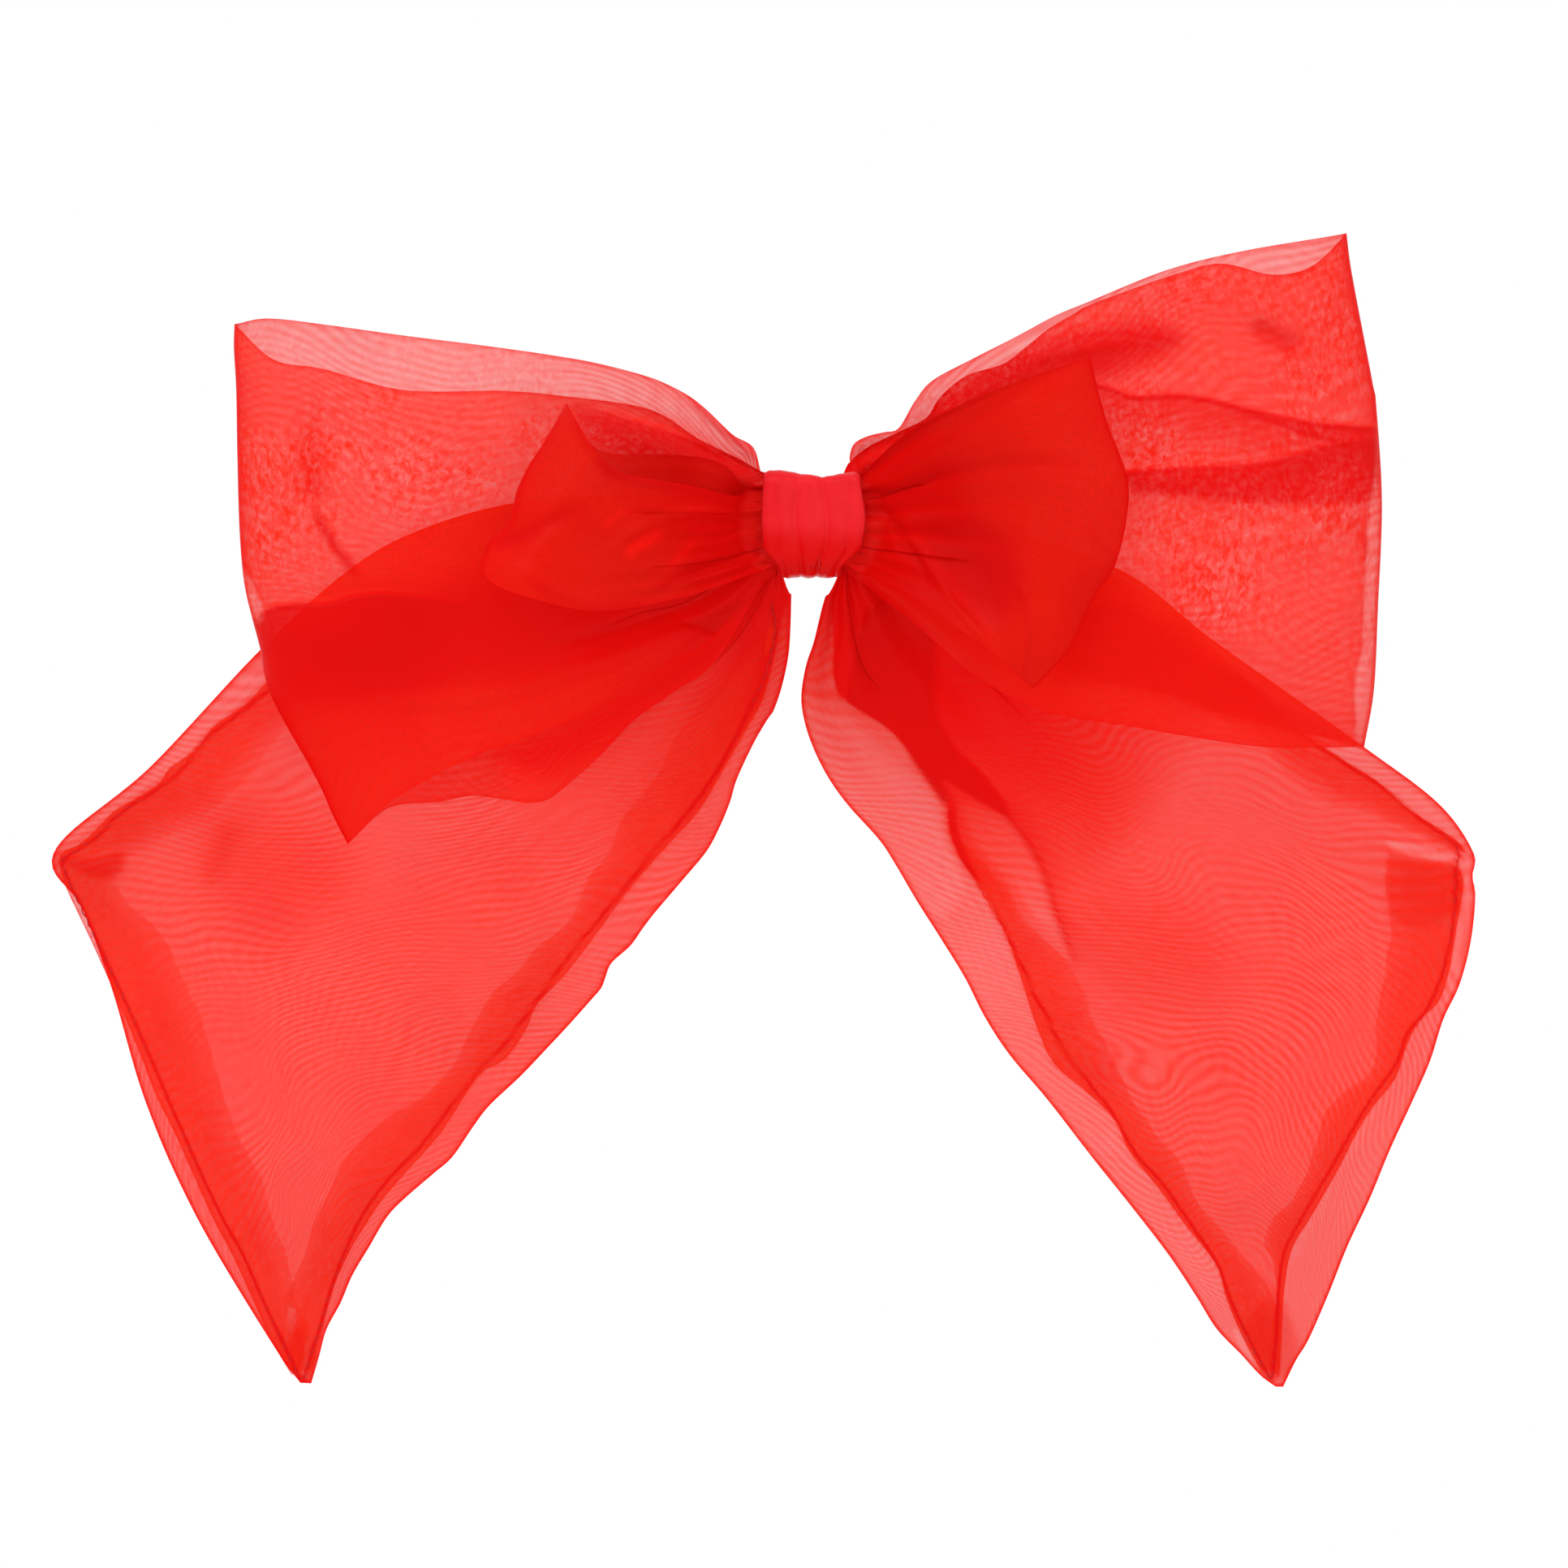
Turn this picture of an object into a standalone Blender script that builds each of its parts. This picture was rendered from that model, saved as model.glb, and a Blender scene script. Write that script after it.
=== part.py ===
"""Organza hair bow on a French barrette, as separate pieces with real joints.

Frame: metres, +Z up, +X along the bow, the bow faces -Y.  The origin is the
middle of the clasp arm's flat outer face, the face that lies against the head.
The bow's own turning axis is the line x = 0, z = 0 along Y, through the knot:
the loops and the tails are gathered on it, so they swing round it.
"""
import math

import bmesh
import bpy
import numpy as np

MM = 0.001

# ---- driving dimensions, in millimetres ---------------------------------
KNOT_W = 17.0            # width of the centre band
KNOT_H = 18.5            # height of the centre band
BAND_T = 0.55            # folded satin band, wall
BAND_BACK_Y = -10.75     # outer face of the band behind the base plate
BAND_FRONT_Y = -30.3     # outer face of the band in front
GATHER_R = 12.3          # radius of the gathered middles round the knot axis
NECK_R = 12.8            # the loops and tails start here, clear of the band
WALL = 0.6               # doubled organza with its air, loop walls
PANEL = 0.5              # doubled organza, tail panels
TAIL_GAP = 0.7           # air between the two panels of a tail
THREAD_R = 0.15          # sewing thread

CLIP_X = 38.0            # half length of the barrette's base plate
CLIP_W = 9.0             # its width
PLATE_T = 0.8
BASE_MID_Y = -12.0       # base plate's middle line at the knot
BASE_END_Y = -6.2        # and at its ends
SEAT_X = 9.6             # the plate is flat under the band
ARCH_X = 28.0            # the arch ends here, flat beyond
ARM_W = 7.2
ARM_T = 1.0
PIN_X, PIN_Y, PIN_R = -35.0, -2.4, 0.6
LATCH_X = 29.0           # middle of the latch
PRONG_Z = 1.75           # prong's middle line from the clip's centre line
PRONG_T = 0.5

for old in list(bpy.data.objects):
    bpy.data.objects.remove(old, do_unlink=True)


# ---- materials ------------------------------------------------------------
def material(name, colour, rough, metal=0.0):
    mat = bpy.data.materials.new(name)
    mat.use_nodes = True
    shader = mat.node_tree.nodes["Principled BSDF"]
    shader.inputs["Base Color"].default_value = (*colour, 1.0)
    shader.inputs["Roughness"].default_value = rough
    shader.inputs["Metallic"].default_value = metal
    return mat


ORGANZA = material("organza_red", (0.80, 0.02, 0.015), 0.45)
SATIN = material("satin_red", (0.84, 0.02, 0.03), 0.32)
THREAD = material("thread_red", (0.70, 0.015, 0.02), 0.6)
NICKEL = material("nickel_steel", (0.62, 0.61, 0.58), 0.28, 1.0)
SPRING = material("spring_steel", (0.50, 0.50, 0.50), 0.34, 1.0)


# ---- helpers ----------------------------------------------------------------
def smooth_curve(points, count, power=1.0):
    """Even points along a Catmull-Rom curve through the drafted points."""
    p = np.array(points, float)
    ext = np.vstack([2 * p[0] - p[1], p, 2 * p[-1] - p[-2]])
    fine = []
    for k in range(1, len(ext) - 2):
        a, b, c, d = ext[k - 1], ext[k], ext[k + 1], ext[k + 2]
        for t in np.linspace(0, 1, 24, endpoint=False):
            fine.append(0.5 * (2 * b + (c - a) * t + (2 * a - 5 * b + 4 * c - d) * t ** 2
                               + (3 * b - a - 3 * c + d) * t ** 3))
    fine.append(p[-1])
    fine = np.array(fine)
    run = np.concatenate([[0], np.cumsum(np.linalg.norm(np.diff(fine, axis=0), axis=1))])
    want = np.asarray(count, float) * run[-1]
    return np.stack([np.interp(want, run, fine[:, k]) for k in range(p.shape[1])], 1)


def arc(radius, deg0, deg1, s):
    ang = np.radians(deg0 + (deg1 - deg0) * np.asarray(s, float))
    return np.stack([radius * np.cos(ang), radius * np.sin(ang)], 1)


def coons(low, high, near, far, us, vs):
    """(x, z) grid [u][v] between a bottom edge, a top edge, a neck and an end."""
    lo, hi = smooth_curve(low, us), smooth_curve(high, us)
    ne, fa = near, far
    u = np.asarray(us)[:, None, None]
    v = np.asarray(vs)[None, :, None]
    lin_v = (1 - v) * lo[:, None] + v * hi[:, None]
    lin_u = (1 - u) * ne[None] + u * fa[None]
    corner = ((1 - u) * (1 - v) * lo[0] + u * (1 - v) * lo[-1]
              + (1 - u) * v * hi[0] + u * v * hi[-1])
    return lin_v + lin_u - corner


def mesh_object(name, verts, faces, mat, smooth=True, angle=35.0):
    mesh = bpy.data.meshes.new(name)
    mesh.from_pydata([tuple(float(c) * MM for c in v) for v in verts], [], faces)
    mesh.update()
    bm = bmesh.new()
    bm.from_mesh(mesh)
    bmesh.ops.recalc_face_normals(bm, faces=bm.faces)
    bm.to_mesh(mesh)
    bm.free()
    if smooth:
        mesh.shade_smooth()
        mesh.set_sharp_from_angle(angle=math.radians(angle))
    mesh.materials.append(mat)
    obj = bpy.data.objects.new(name, mesh)
    bpy.context.scene.collection.objects.link(obj)
    return obj


def thicken(obj, thickness, offset):
    mod = obj.modifiers.new("wall", "SOLIDIFY")
    mod.thickness = thickness * MM
    mod.offset = offset
    mod.use_even_offset = True
    mod.use_rim = True
    tri = obj.modifiers.new("triangles", "TRIANGULATE")
    return tri


def prism(name, outline, axis, low, high, mat, smooth=False):
    """A flat outline pushed along one axis: the axis is 0, 1 or 2."""
    others = [k for k in range(3) if k != axis]
    verts, n = [], len(outline)
    for level in (low, high):
        for a, b in outline:
            v = [0.0, 0.0, 0.0]
            v[axis], v[others[0]], v[others[1]] = level, a, b
            verts.append(v)
    faces = [list(range(n))[::-1], list(range(n, 2 * n))]
    faces += [[k, (k + 1) % n, n + (k + 1) % n, n + k] for k in range(n)]
    return mesh_object(name, verts, faces, mat, smooth)


def box(name, low, high, mat):
    return prism(name, [(low[0], low[1]), (high[0], low[1]), (high[0], high[1]),
                        (low[0], high[1])], 2, low[2], high[2], mat)


def rod(name, centre, radius, axis, low, high, mat, sides=20):
    ring = [(centre[0] + radius * math.cos(2 * math.pi * k / sides),
             centre[1] + radius * math.sin(2 * math.pi * k / sides)) for k in range(sides)]
    return prism(name, ring, axis, low, high, mat, smooth=True)


def cut_or_join(obj, other, operation):
    """Boolean that is kept as a modifier; the other shape is only a guide."""
    mod = obj.modifiers.new(operation.lower(), "BOOLEAN")
    mod.operation = operation
    mod.object = other
    mod.solver = "EXACT"
    other.hide_render = True
    other.display_type = "WIRE"


def tube(name, path, radius, mat, closed=False, resolution=2):
    curve = bpy.data.curves.new(name, "CURVE")
    curve.dimensions = "3D"
    curve.bevel_depth = radius * MM
    curve.bevel_resolution = resolution
    curve.use_fill_caps = not closed
    spline = curve.splines.new("POLY")
    spline.points.add(len(path) - 1)
    for point, co in zip(spline.points, path):
        point.co = (co[0] * MM, co[1] * MM, co[2] * MM, 1.0)
    spline.use_cyclic_u = closed
    spline.use_smooth = True
    curve.materials.append(mat)
    obj = bpy.data.objects.new(name, curve)
    bpy.context.scene.collection.objects.link(obj)
    return obj


# ---- the loops -----------------------------------------------------------
def along(values, us):
    """A smooth profile through (u, value) pairs."""
    pts = smooth_curve(values, np.linspace(0, 1, 200))
    return np.interp(us, pts[:, 0], pts[:, 1])


def loop(name, front, back, end, neck, y_back, y_front, y_end, close_at=0.72,
         us=(0, .07, .16, .28, .41, .54, .66, .77, .86, .93, .975, 1.0), rows=9):
    """One gathered loop: a wide flat strip that leaves the knot, turns over at
    its outer end and comes back.  front and back are (bottom edge, top edge) of
    the two halves, end is the turned edge, neck the two angles of the gather."""
    us = np.array(us)
    vs = np.linspace(0, 1, rows)
    end_line = smooth_curve(end, vs)
    halves = []
    for (low, high), profile in ((back, y_back), (front, y_front)):
        near = arc(NECK_R, neck[0], neck[1], vs)
        low = [tuple(near[0])] + list(low) + [tuple(end_line[0])]
        high = [tuple(near[-1])] + list(high) + [tuple(end_line[-1])]
        xz = coons(low, high, near, end_line, us, vs)
        y = along(profile, us)
        shut = np.where(us > close_at,
                        np.sqrt(np.clip(1 - ((us - close_at) / (1 - close_at)) ** 2, 0, 1)), 1.0)
        y = y_end + (y - y_end) * shut
        halves.append((xz, y))
    grid = []
    for i in range(len(us)):                       # out along the back half
        grid.append([(halves[0][0][i, j, 0], halves[0][1][i], halves[0][0][i, j, 1])
                     for j in range(rows)])
    for i in range(len(us) - 2, -1, -1):           # and back along the front half
        grid.append([(halves[1][0][i, j, 0], halves[1][1][i], halves[1][0][i, j, 1])
                     for j in range(rows)])
    verts = [v for line in grid for v in line]
    faces, n = [], len(grid)
    for i in range(n):
        k = (i + 1) % n
        for j in range(rows - 1):
            faces.append((i * rows + j, k * rows + j, k * rows + j + 1, i * rows + j + 1))
    obj = mesh_object(name, verts, faces, ORGANZA, angle=60)
    # an open ring has no inside of its own: turn it so its faces look outwards
    mesh = obj.data
    mid = sum((v.co for v in mesh.vertices), start=mesh.vertices[0].co * 0) / len(mesh.vertices)
    score = sum((f.center - mid).dot(f.normal) * f.area for f in mesh.polygons)
    if score < 0:
        mesh.flip_normals()
    thicken(obj, WALL, -1.0)
    return obj


BIG_BACK = ((0, -17.5), (.15, -18.3), (.5, -20.5), (.8, -22.5), (1.0, -24.0))
BIG_FRONT = ((0, -23.0), (.12, -26.5), (.3, -33.0), (.5, -38.0), (.72, -40.0), (1.0, -38.0))
BIG_END = -30.0
SMALL_BACK = ((0, -24.2), (.2, -30.0), (.4, -36.5), (.6, -41.5), (.8, -43.5), (1.0, -44.0))
SMALL_FRONT = ((0, -29.2), (.15, -36.5), (.35, -45.5), (.6, -52.5), (.8, -54.0), (1.0, -52.0))
SMALL_END = -47.0

loop("big_loop_left",
     front=([(-19.9, -27.7), (-28.4, -33.4), (-39.8, -40.5), (-45.5, -46.2), (-51.1, -49.0),
             (-59.7, -48.3), (-71.0, -49.0), (-75.3, -50.4)],
            [(-13.0, 11.5), (-19.9, 14.9), (-28.4, 19.9), (-42.6, 22.0), (-54.0, 22.9),
             (-71.0, 23.0), (-85.2, 26.7), (-93.8, 28.4)]),
     back=([(-19.0, -25.5), (-28.0, -31.5), (-39.0, -38.5), (-46.0, -43.5), (-52.0, -46.0),
            (-60.0, -46.0), (-71.0, -47.0), (-75.3, -49.0)],
           [(-13.5, 15.6), (-21.3, 23.4), (-24.1, 25.6), (-42.6, 29.5), (-58.2, 31.5),
            (-66.8, 32.0), (-88.1, 34.8), (-95.2, 35.5)]),
     end=[(-81.0, -55.5), (-83.8, -49.0), (-87.4, -41.9), (-94.5, -32.0), (-96.2, -15.9),
          (-99.4, -9.9), (-100.1, -0.7), (-100.1, 17.8), (-101.1, 30.5), (-100.9, 34.8)],
     neck=(230, 134), y_back=BIG_BACK, y_front=BIG_FRONT, y_end=BIG_END)

loop("big_loop_right",
     front=([(18.0, -17.5), (28.4, -24.9), (41.2, -32.0), (56.8, -34.8), (79.5, -38.4)],
            [(9.2, 15.2), (15.3, 16.6), (21.3, 24.8), (28.4, 29.0), (44.0, 36.8),
             (62.5, 43.3), (71.0, 44.7), (82.4, 43.3), (88.1, 45.5)]),
     back=([(18.0, -16.0), (28.4, -23.0), (41.2, -29.5), (56.8, -32.5), (79.5, -36.5)],
           [(9.2, 15.2), (15.3, 16.6), (21.3, 25.6), (28.4, 29.8), (44.0, 37.6),
            (62.5, 44.3), (75.3, 47.6)]),
     end=[(96.6, -39.1), (98.3, -29.1), (99.0, -14.9), (99.7, 3.6), (98.7, 20.6),
          (98.0, 24.9), (94.5, 43.3), (93.5, 50.7)],
     neck=(-50, 58), y_back=BIG_BACK, y_front=BIG_FRONT, y_end=BIG_END)

loop("small_loop_left",
     front=([(-22.0, -13.0), (-36.9, -15.6), (-48.3, -13.5), (-55.4, -10.7)],
            [(-18.5, 5.7), (-27.0, 6.8), (-32.7, 7.8), (-36.9, 11.2), (-40.5, 16.5)]),
     back=([(-22.0, -12.0), (-36.9, -14.0), (-48.3, -12.0), (-55.0, -9.6)],
           [(-18.5, 6.2), (-27.0, 8.0), (-34.1, 10.2), (-38.5, 14.6)]),
     end=[(-58.2, -6.9), (-55.5, -3.0), (-52.8, 0.7), (-51.8, 3.6), (-49.7, 9.2),
          (-46.2, 14.2), (-42.6, 20.6)],
     neck=(222, 154), y_back=SMALL_BACK, y_front=SMALL_FRONT, y_end=SMALL_END, rows=7,
     us=(0, .1, .24, .4, .56, .7, .82, .91, .97, 1.0))

loop("small_loop_right",
     front=([(17.0, -13.5), (28.4, -20.6)],
            [(15.0, 13.5), (22.7, 17.8), (36.0, 23.5)]),
     back=([(17.0, -12.5), (28.4, -19.4)],
           [(15.0, 14.5), (22.7, 19.0), (36.0, 24.6)]),
     end=[(38.5, -29.1), (44.5, -22.5), (49.0, -13.5), (52.6, -7.8), (54.7, 0.7),
          (54.7, 7.8), (51.1, 17.8), (48.3, 28.4)],
     neck=(-44, 44), y_back=SMALL_BACK, y_front=SMALL_FRONT, y_end=SMALL_END, rows=7,
     us=(0, .1, .24, .4, .56, .7, .82, .91, .97, 1.0))


# ---- the tails ------------------------------------------------------------
def tail_y(x, z, start, lean):
    """Depth of a tail: flat at the knot, rippled and leaning forward lower down."""
    r = math.hypot(x, z)
    free = min(max((r - 30.0) / 110.0, 0.0), 1.0)
    across = math.atan2(z, abs(x))
    ripple = 3.0 * math.sin(9.0 * across + 0.6) * free ** 1.5
    return start + ripple - lean * free * free


def tail(side, inner, outer, neck, start, lean):
    """A pointed tail: two panels sewn round their edges and turned right side
    out, with the seam's thread between them."""
    us = np.linspace(0, 1, 15)
    vs = np.linspace(0, 1, 9)
    near = arc(NECK_R, neck[0], neck[1], vs)
    lo = [tuple(near[0])] + inner
    hi = [tuple(near[-1])] + outer
    tip = np.repeat([inner[-1]], len(vs), 0)
    blunt = np.array([[inner[-1][0] + (outer[-1][0] - inner[-1][0]) * v,
                       inner[-1][1] + (outer[-1][1] - inner[-1][1]) * v] for v in vs])
    tip = blunt
    xz = coons(lo, hi, near, tip, us, vs)
    cols = len(vs)
    for which, shift in (("back", 0.5 * (PANEL + TAIL_GAP)), ("front", -0.5 * (PANEL + TAIL_GAP))):
        verts = [(xz[i, j, 0], tail_y(xz[i, j, 0], xz[i, j, 1], start, lean) + shift, xz[i, j, 1])
                 for i in range(len(us)) for j in range(cols)]
        faces = [(i * cols + j, (i + 1) * cols + j, (i + 1) * cols + j + 1, i * cols + j + 1)
                 for i in range(len(us) - 1) for j in range(cols - 1)]
        obj = mesh_object("tail_%s_%s" % (side, which), verts, faces, ORGANZA, angle=60)
        thicken(obj, PANEL, 0.0)
    # the seam runs one seam allowance inside the edge, round the tip, and follows
    # the panels' own facets so that it stays in the air between them
    first, last = 2, len(us) - 2
    route = [(i, 1) for i in range(first, last + 1)]
    route += [(last, j) for j in range(2, cols - 1)]
    route += [(i, cols - 2) for i in range(last - 1, first - 1, -1)]
    path = [(xz[i, j, 0], tail_y(xz[i, j, 0], xz[i, j, 1], start, lean), xz[i, j, 1])
            for i, j in route]
    tube("tail_%s_seam_thread" % side, path, THREAD_R, THREAD, resolution=1)


tail("left",
     inner=[(-3.6, -17.8), (-5.0, -27.7), (-13.1, -44.7), (-18.5, -57.5), (-27.7, -68.6),
            (-36.9, -81.0), (-47.6, -92.3), (-63.1, -111.1), (-74.4, -121.4), (-84.8, -140.6),
            (-87.6, -150.0)],
     outer=[(-30.0, 5.2), (-51.1, 4.0), (-68.2, -0.7), (-81.0, -7.8), (-96.6, -22.0),
            (-115.8, -42.6), (-132.6, -57.5), (-127.8, -67.5), (-122.6, -81.7), (-116.5, -101.6),
            (-107.7, -121.0), (-93.8, -144.2), (-89.4, -150.3)],
     neck=(254, 162), start=-16.0, lean=11.0)
tail("right",
     inner=[(0.7, -19.2), (-1.8, -30.5), (5.7, -49.0), (18.5, -65.3), (30.5, -86.6),
            (42.6, -102.3), (56.8, -120.0), (71.0, -140.6), (81.3, -150.5)],
     outer=[(30.0, -0.5), (54.0, -7.8), (71.0, -20.6), (96.6, -38.8), (110.1, -49.0),
            (116.2, -57.5), (113.9, -74.6), (105.1, -98.7), (94.5, -122.2), (86.6, -140.6),
            (82.7, -150.8)],
     neck=(281, 365), start=-13.9, lean=8.0)


# ---- the gathered middles, one flattened disc for each strip ----------------
def gathered(name, low, high, pleats, mat=ORGANZA):
    """The strip's pleated middle under the band: round in the face, so the loop
    or tail beside it can swing round the knot, and flat above and below."""
    half = KNOT_H / 2 - BAND_T - 1.1
    top = math.asin(half / GATHER_R)
    outline = []
    steps = 2 * pleats + 1
    for sign in (1, -1):
        for k in range(steps):
            a = -top + 2 * top * k / (steps - 1)
            r = GATHER_R - (0.35 if k % 2 else 0.0)
            outline.append((sign * r * math.cos(a), sign * r * math.sin(a)))
    return prism(name, outline, 1, low, high, mat)


gathered("tails_gathered_middle", -16.8, -12.75, 5)
gathered("big_bow_gathered_middle", -23.2, -17.1, 7)
gathered("small_bow_gathered_middle", -29.4, -23.5, 6)

# binding thread: three turns round the whole gathered stack, under the band
half_z = KNOT_H / 2 - BAND_T - 0.68
front, back = -29.58, -12.57


def round_box(s):
    """Point at s turns round the stack's own outline, in the YZ plane."""
    ly, lz = back - front, 2 * half_z
    run = (s % 1.0) * 2 * (ly + lz)
    for length, (y, z), (dy, dz) in ((ly, (front, half_z), (1, 0)), (lz, (back, half_z), (0, -1)),
                                     (ly, (back, -half_z), (-1, 0)), (lz, (front, -half_z), (0, 1))):
        if run <= length:
            return y + dy * run, z + dz * run
        run -= length
    return front, half_z


turns = 3
corners = [0.0, (back - front), (back - front) + 2 * half_z, 2 * (back - front) + 2 * half_z]
whole = 2 * (back - front) + 4 * half_z
path = []
for turn in range(turns):
    for c, nxt in zip(corners, corners[1:] + [whole]):
        for f in (0.03, 0.35, 0.65, 0.97):
            s = (c + (nxt - c) * f) / whole
            y, z = round_box(s)
            path.append((-1.6 + 3.2 * (turn + s) / turns, y, z))
tube("binding_thread", path, THREAD_R * 0.8, THREAD, resolution=1)


# ---- the centre band ------------------------------------------------------
def ring_outline(y0, y1, half, radius, steps=6):
    out = []
    for cy, cz, a0 in ((y1 - radius, half - radius, 0), (y0 + radius, half - radius, 90),
                       (y0 + radius, -half + radius, 180), (y1 - radius, -half + radius, 270)):
        for k in range(steps + 1):
            a = math.radians(a0 + 90 * k / steps)
            out.append((cy + radius * math.cos(a), cz + radius * math.sin(a)))
    return out


outer = ring_outline(BAND_FRONT_Y, BAND_BACK_Y, KNOT_H / 2, 1.0)
inner = ring_outline(BAND_FRONT_Y + BAND_T, BAND_BACK_Y - BAND_T, KNOT_H / 2 - BAND_T, 1.0 - BAND_T)
stations = np.linspace(-KNOT_W / 2, KNOT_W / 2, 9)
verts, faces, m = [], [], len(outer)
for i, x in enumerate(stations):
    # the band is pinched in slightly at its middle
    waist = 0.12 * (1 - (2 * x / KNOT_W) ** 2)
    for line in (outer, inner):
        for y, z in line:
            verts.append((x, y, z - math.copysign(min(waist, abs(z) * 0.04), z)))
last = len(stations) - 1
for i in range(last):
    for k in range(m):
        n = (k + 1) % m
        a, b = i * 2 * m, (i + 1) * 2 * m
        faces.append((a + k, a + n, b + n, b + k))
        faces.append((a + m + n, a + m + k, b + m + k, b + m + n))
for i in (0, last):
    for k in range(m):
        n = (k + 1) % m
        a = i * 2 * m
        faces.append((a + k, a + m + k, a + m + n, a + n))
mesh_object("centre_band", verts, faces, SATIN, angle=40)

# hand stitches that close the band's overlapped end, on its back
stitch_path = []
for k in range(25):
    s = k / 24
    stitch_path.append((-6.0 + 12.0 * s, BAND_BACK_Y + 0.5, 0.7 * math.sin(s * 6 * math.pi) - 2.0))
tube("centre_band_stitches", stitch_path, THREAD_R, THREAD, resolution=1)


# ---- the French barrette --------------------------------------------------
def plate_y(x):
    t = min(max(abs(x) - SEAT_X, 0.0) / (ARCH_X - SEAT_X), 1.0)
    return BASE_MID_Y + (BASE_END_Y - BASE_MID_Y) * 0.5 * (1 - math.cos(math.pi * t))


def strip(name, xs, line, thickness, width, mat, ends=0.0):
    """A sheet-metal strip that follows a line in the XY plane."""
    low = [(x, line(x) - thickness / 2) for x in xs]
    high = [(x, line(x) + thickness / 2) for x in reversed(xs)]
    return prism(name, low + high, 2, -width / 2, width / 2, mat, smooth=True)


base_xs = [-CLIP_X + 2 * CLIP_X * k / 38 for k in range(39)]
base = strip("barrette_base_plate", base_xs, plate_y, PLATE_T, CLIP_W, NICKEL)
ear_z = CLIP_W / 2
for sign in (1, -1):
    low, high = sorted((sign * ear_z, sign * (ear_z - 0.8)))
    ear = box("ear_guide", (PIN_X - 1.6, BASE_END_Y - 0.2, low), (PIN_X + 1.6, PIN_Y + 1.5, high), NICKEL)
    cut_or_join(base, ear, "UNION")
hole = rod("ear_hole_guide", (PIN_X, PIN_Y), PIN_R + 0.3, 2, -CLIP_W, CLIP_W, NICKEL, 20)
cut_or_join(base, hole, "DIFFERENCE")
for x in (-21.0, 21.0):        # the sewing holes of the base plate
    sew = rod("sewing_hole_guide", (x, 0.0), 1.0, 1, -14.0, -4.0, NICKEL, 16)
    cut_or_join(base, sew, "DIFFERENCE")
rivet_hole = rod("rivet_hole_guide", (LATCH_X + 4.6, 0.0), 1.3, 1, -8.0, -4.0, NICKEL, 16)
cut_or_join(base, rivet_hole, "DIFFERENCE")

rod("barrette_hinge_pin", (PIN_X, PIN_Y), PIN_R, 2, -CLIP_W / 2 - 0.3, CLIP_W / 2 + 0.3, SPRING, 20)

# clasp arm: flat outside, stepped in at the latch so the nibs stay below its face
ARM_STEP = -1.8
arm_side = [(PIN_X, -ARM_T), (22.6, -ARM_T), (24.4, ARM_STEP - ARM_T), (34.0, ARM_STEP - ARM_T),
            (34.0, ARM_STEP), (25.0, ARM_STEP), (23.2, 0.0), (PIN_X, 0.0)]
arm = prism("barrette_clasp_arm", arm_side, 2, -ARM_W / 2, ARM_W / 2, NICKEL)
knuckle = rod("knuckle_guide", (PIN_X, PIN_Y), 1.7, 2, -ARM_W / 2 + 0.5, ARM_W / 2 - 0.5, NICKEL, 24)
web = box("web_guide", (PIN_X - 1.0, PIN_Y, -ARM_W / 2 + 0.5), (PIN_X + 1.0, -0.5, ARM_W / 2 - 0.5), NICKEL)
cut_or_join(arm, web, "UNION")
cut_or_join(arm, knuckle, "UNION")
bore = rod("pin_bore_guide", (PIN_X, PIN_Y), PIN_R + 0.3, 2, -CLIP_W, CLIP_W, NICKEL, 20)
cut_or_join(arm, bore, "DIFFERENCE")
window = box("window_guide", (LATCH_X - 2.2, -5.0, -2.85), (LATCH_X + 2.2, 1.0, 2.85), NICKEL)
cut_or_join(arm, window, "DIFFERENCE")

# tension leaf: bowed strip held between the base plate's ends and the hair
def leaf_y(x):
    return -7.4 + 2.3 * (x / 26.0) ** 2


leaf_xs = [-26.0 + 52.0 * k / 20 for k in range(21)]
strip("barrette_tension_leaf", leaf_xs, leaf_y, 0.4, 5.0, SPRING)

# latch: a riveted base with two sprung prongs that pass through the arm's window
latch_back = BASE_END_Y + PLATE_T / 2 + 0.3
latch = box("barrette_latch_spring", (LATCH_X - 2.4, latch_back, -3.0),
            (LATCH_X + 6.6, latch_back + 0.5, 3.0), SPRING)
latch_hole = rod("latch_hole_guide", (LATCH_X + 4.6, 0.0), 1.3, 1, -8.0, -4.0, SPRING, 16)
cut_or_join(latch, latch_hole, "DIFFERENCE")


def turned(name, profile, centre, mat, sides=20):
    """A turned piece with its axis along Y: the profile is (radius, y)."""
    verts, faces, n = [], [], len(profile)
    for k in range(sides):
        a = 2 * math.pi * k / sides
        for r, y in profile:
            verts.append((centre[0] + r * math.cos(a), y, centre[1] + r * math.sin(a)))
    for k in range(sides):
        q = (k + 1) % sides
        for i in range(n - 1):
            faces.append((k * n + i, k * n + i + 1, q * n + i + 1, q * n + i))
    faces.append([k * n for k in range(sides)])
    faces.append([k * n + n - 1 for k in range(sides)])
    return mesh_object(name, verts, faces, mat, True, 40)


turned("barrette_latch_rivet",
       [(1.4, BASE_END_Y - 1.4), (1.9, BASE_END_Y - 1.1), (1.9, BASE_END_Y - 0.7), (1.0, BASE_END_Y - 0.7),
        (1.0, latch_back + 0.8), (1.8, latch_back + 0.8), (1.8, latch_back + 1.0),
        (1.2, latch_back + 1.3)], (LATCH_X + 4.6, 0.0), NICKEL)

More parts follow.
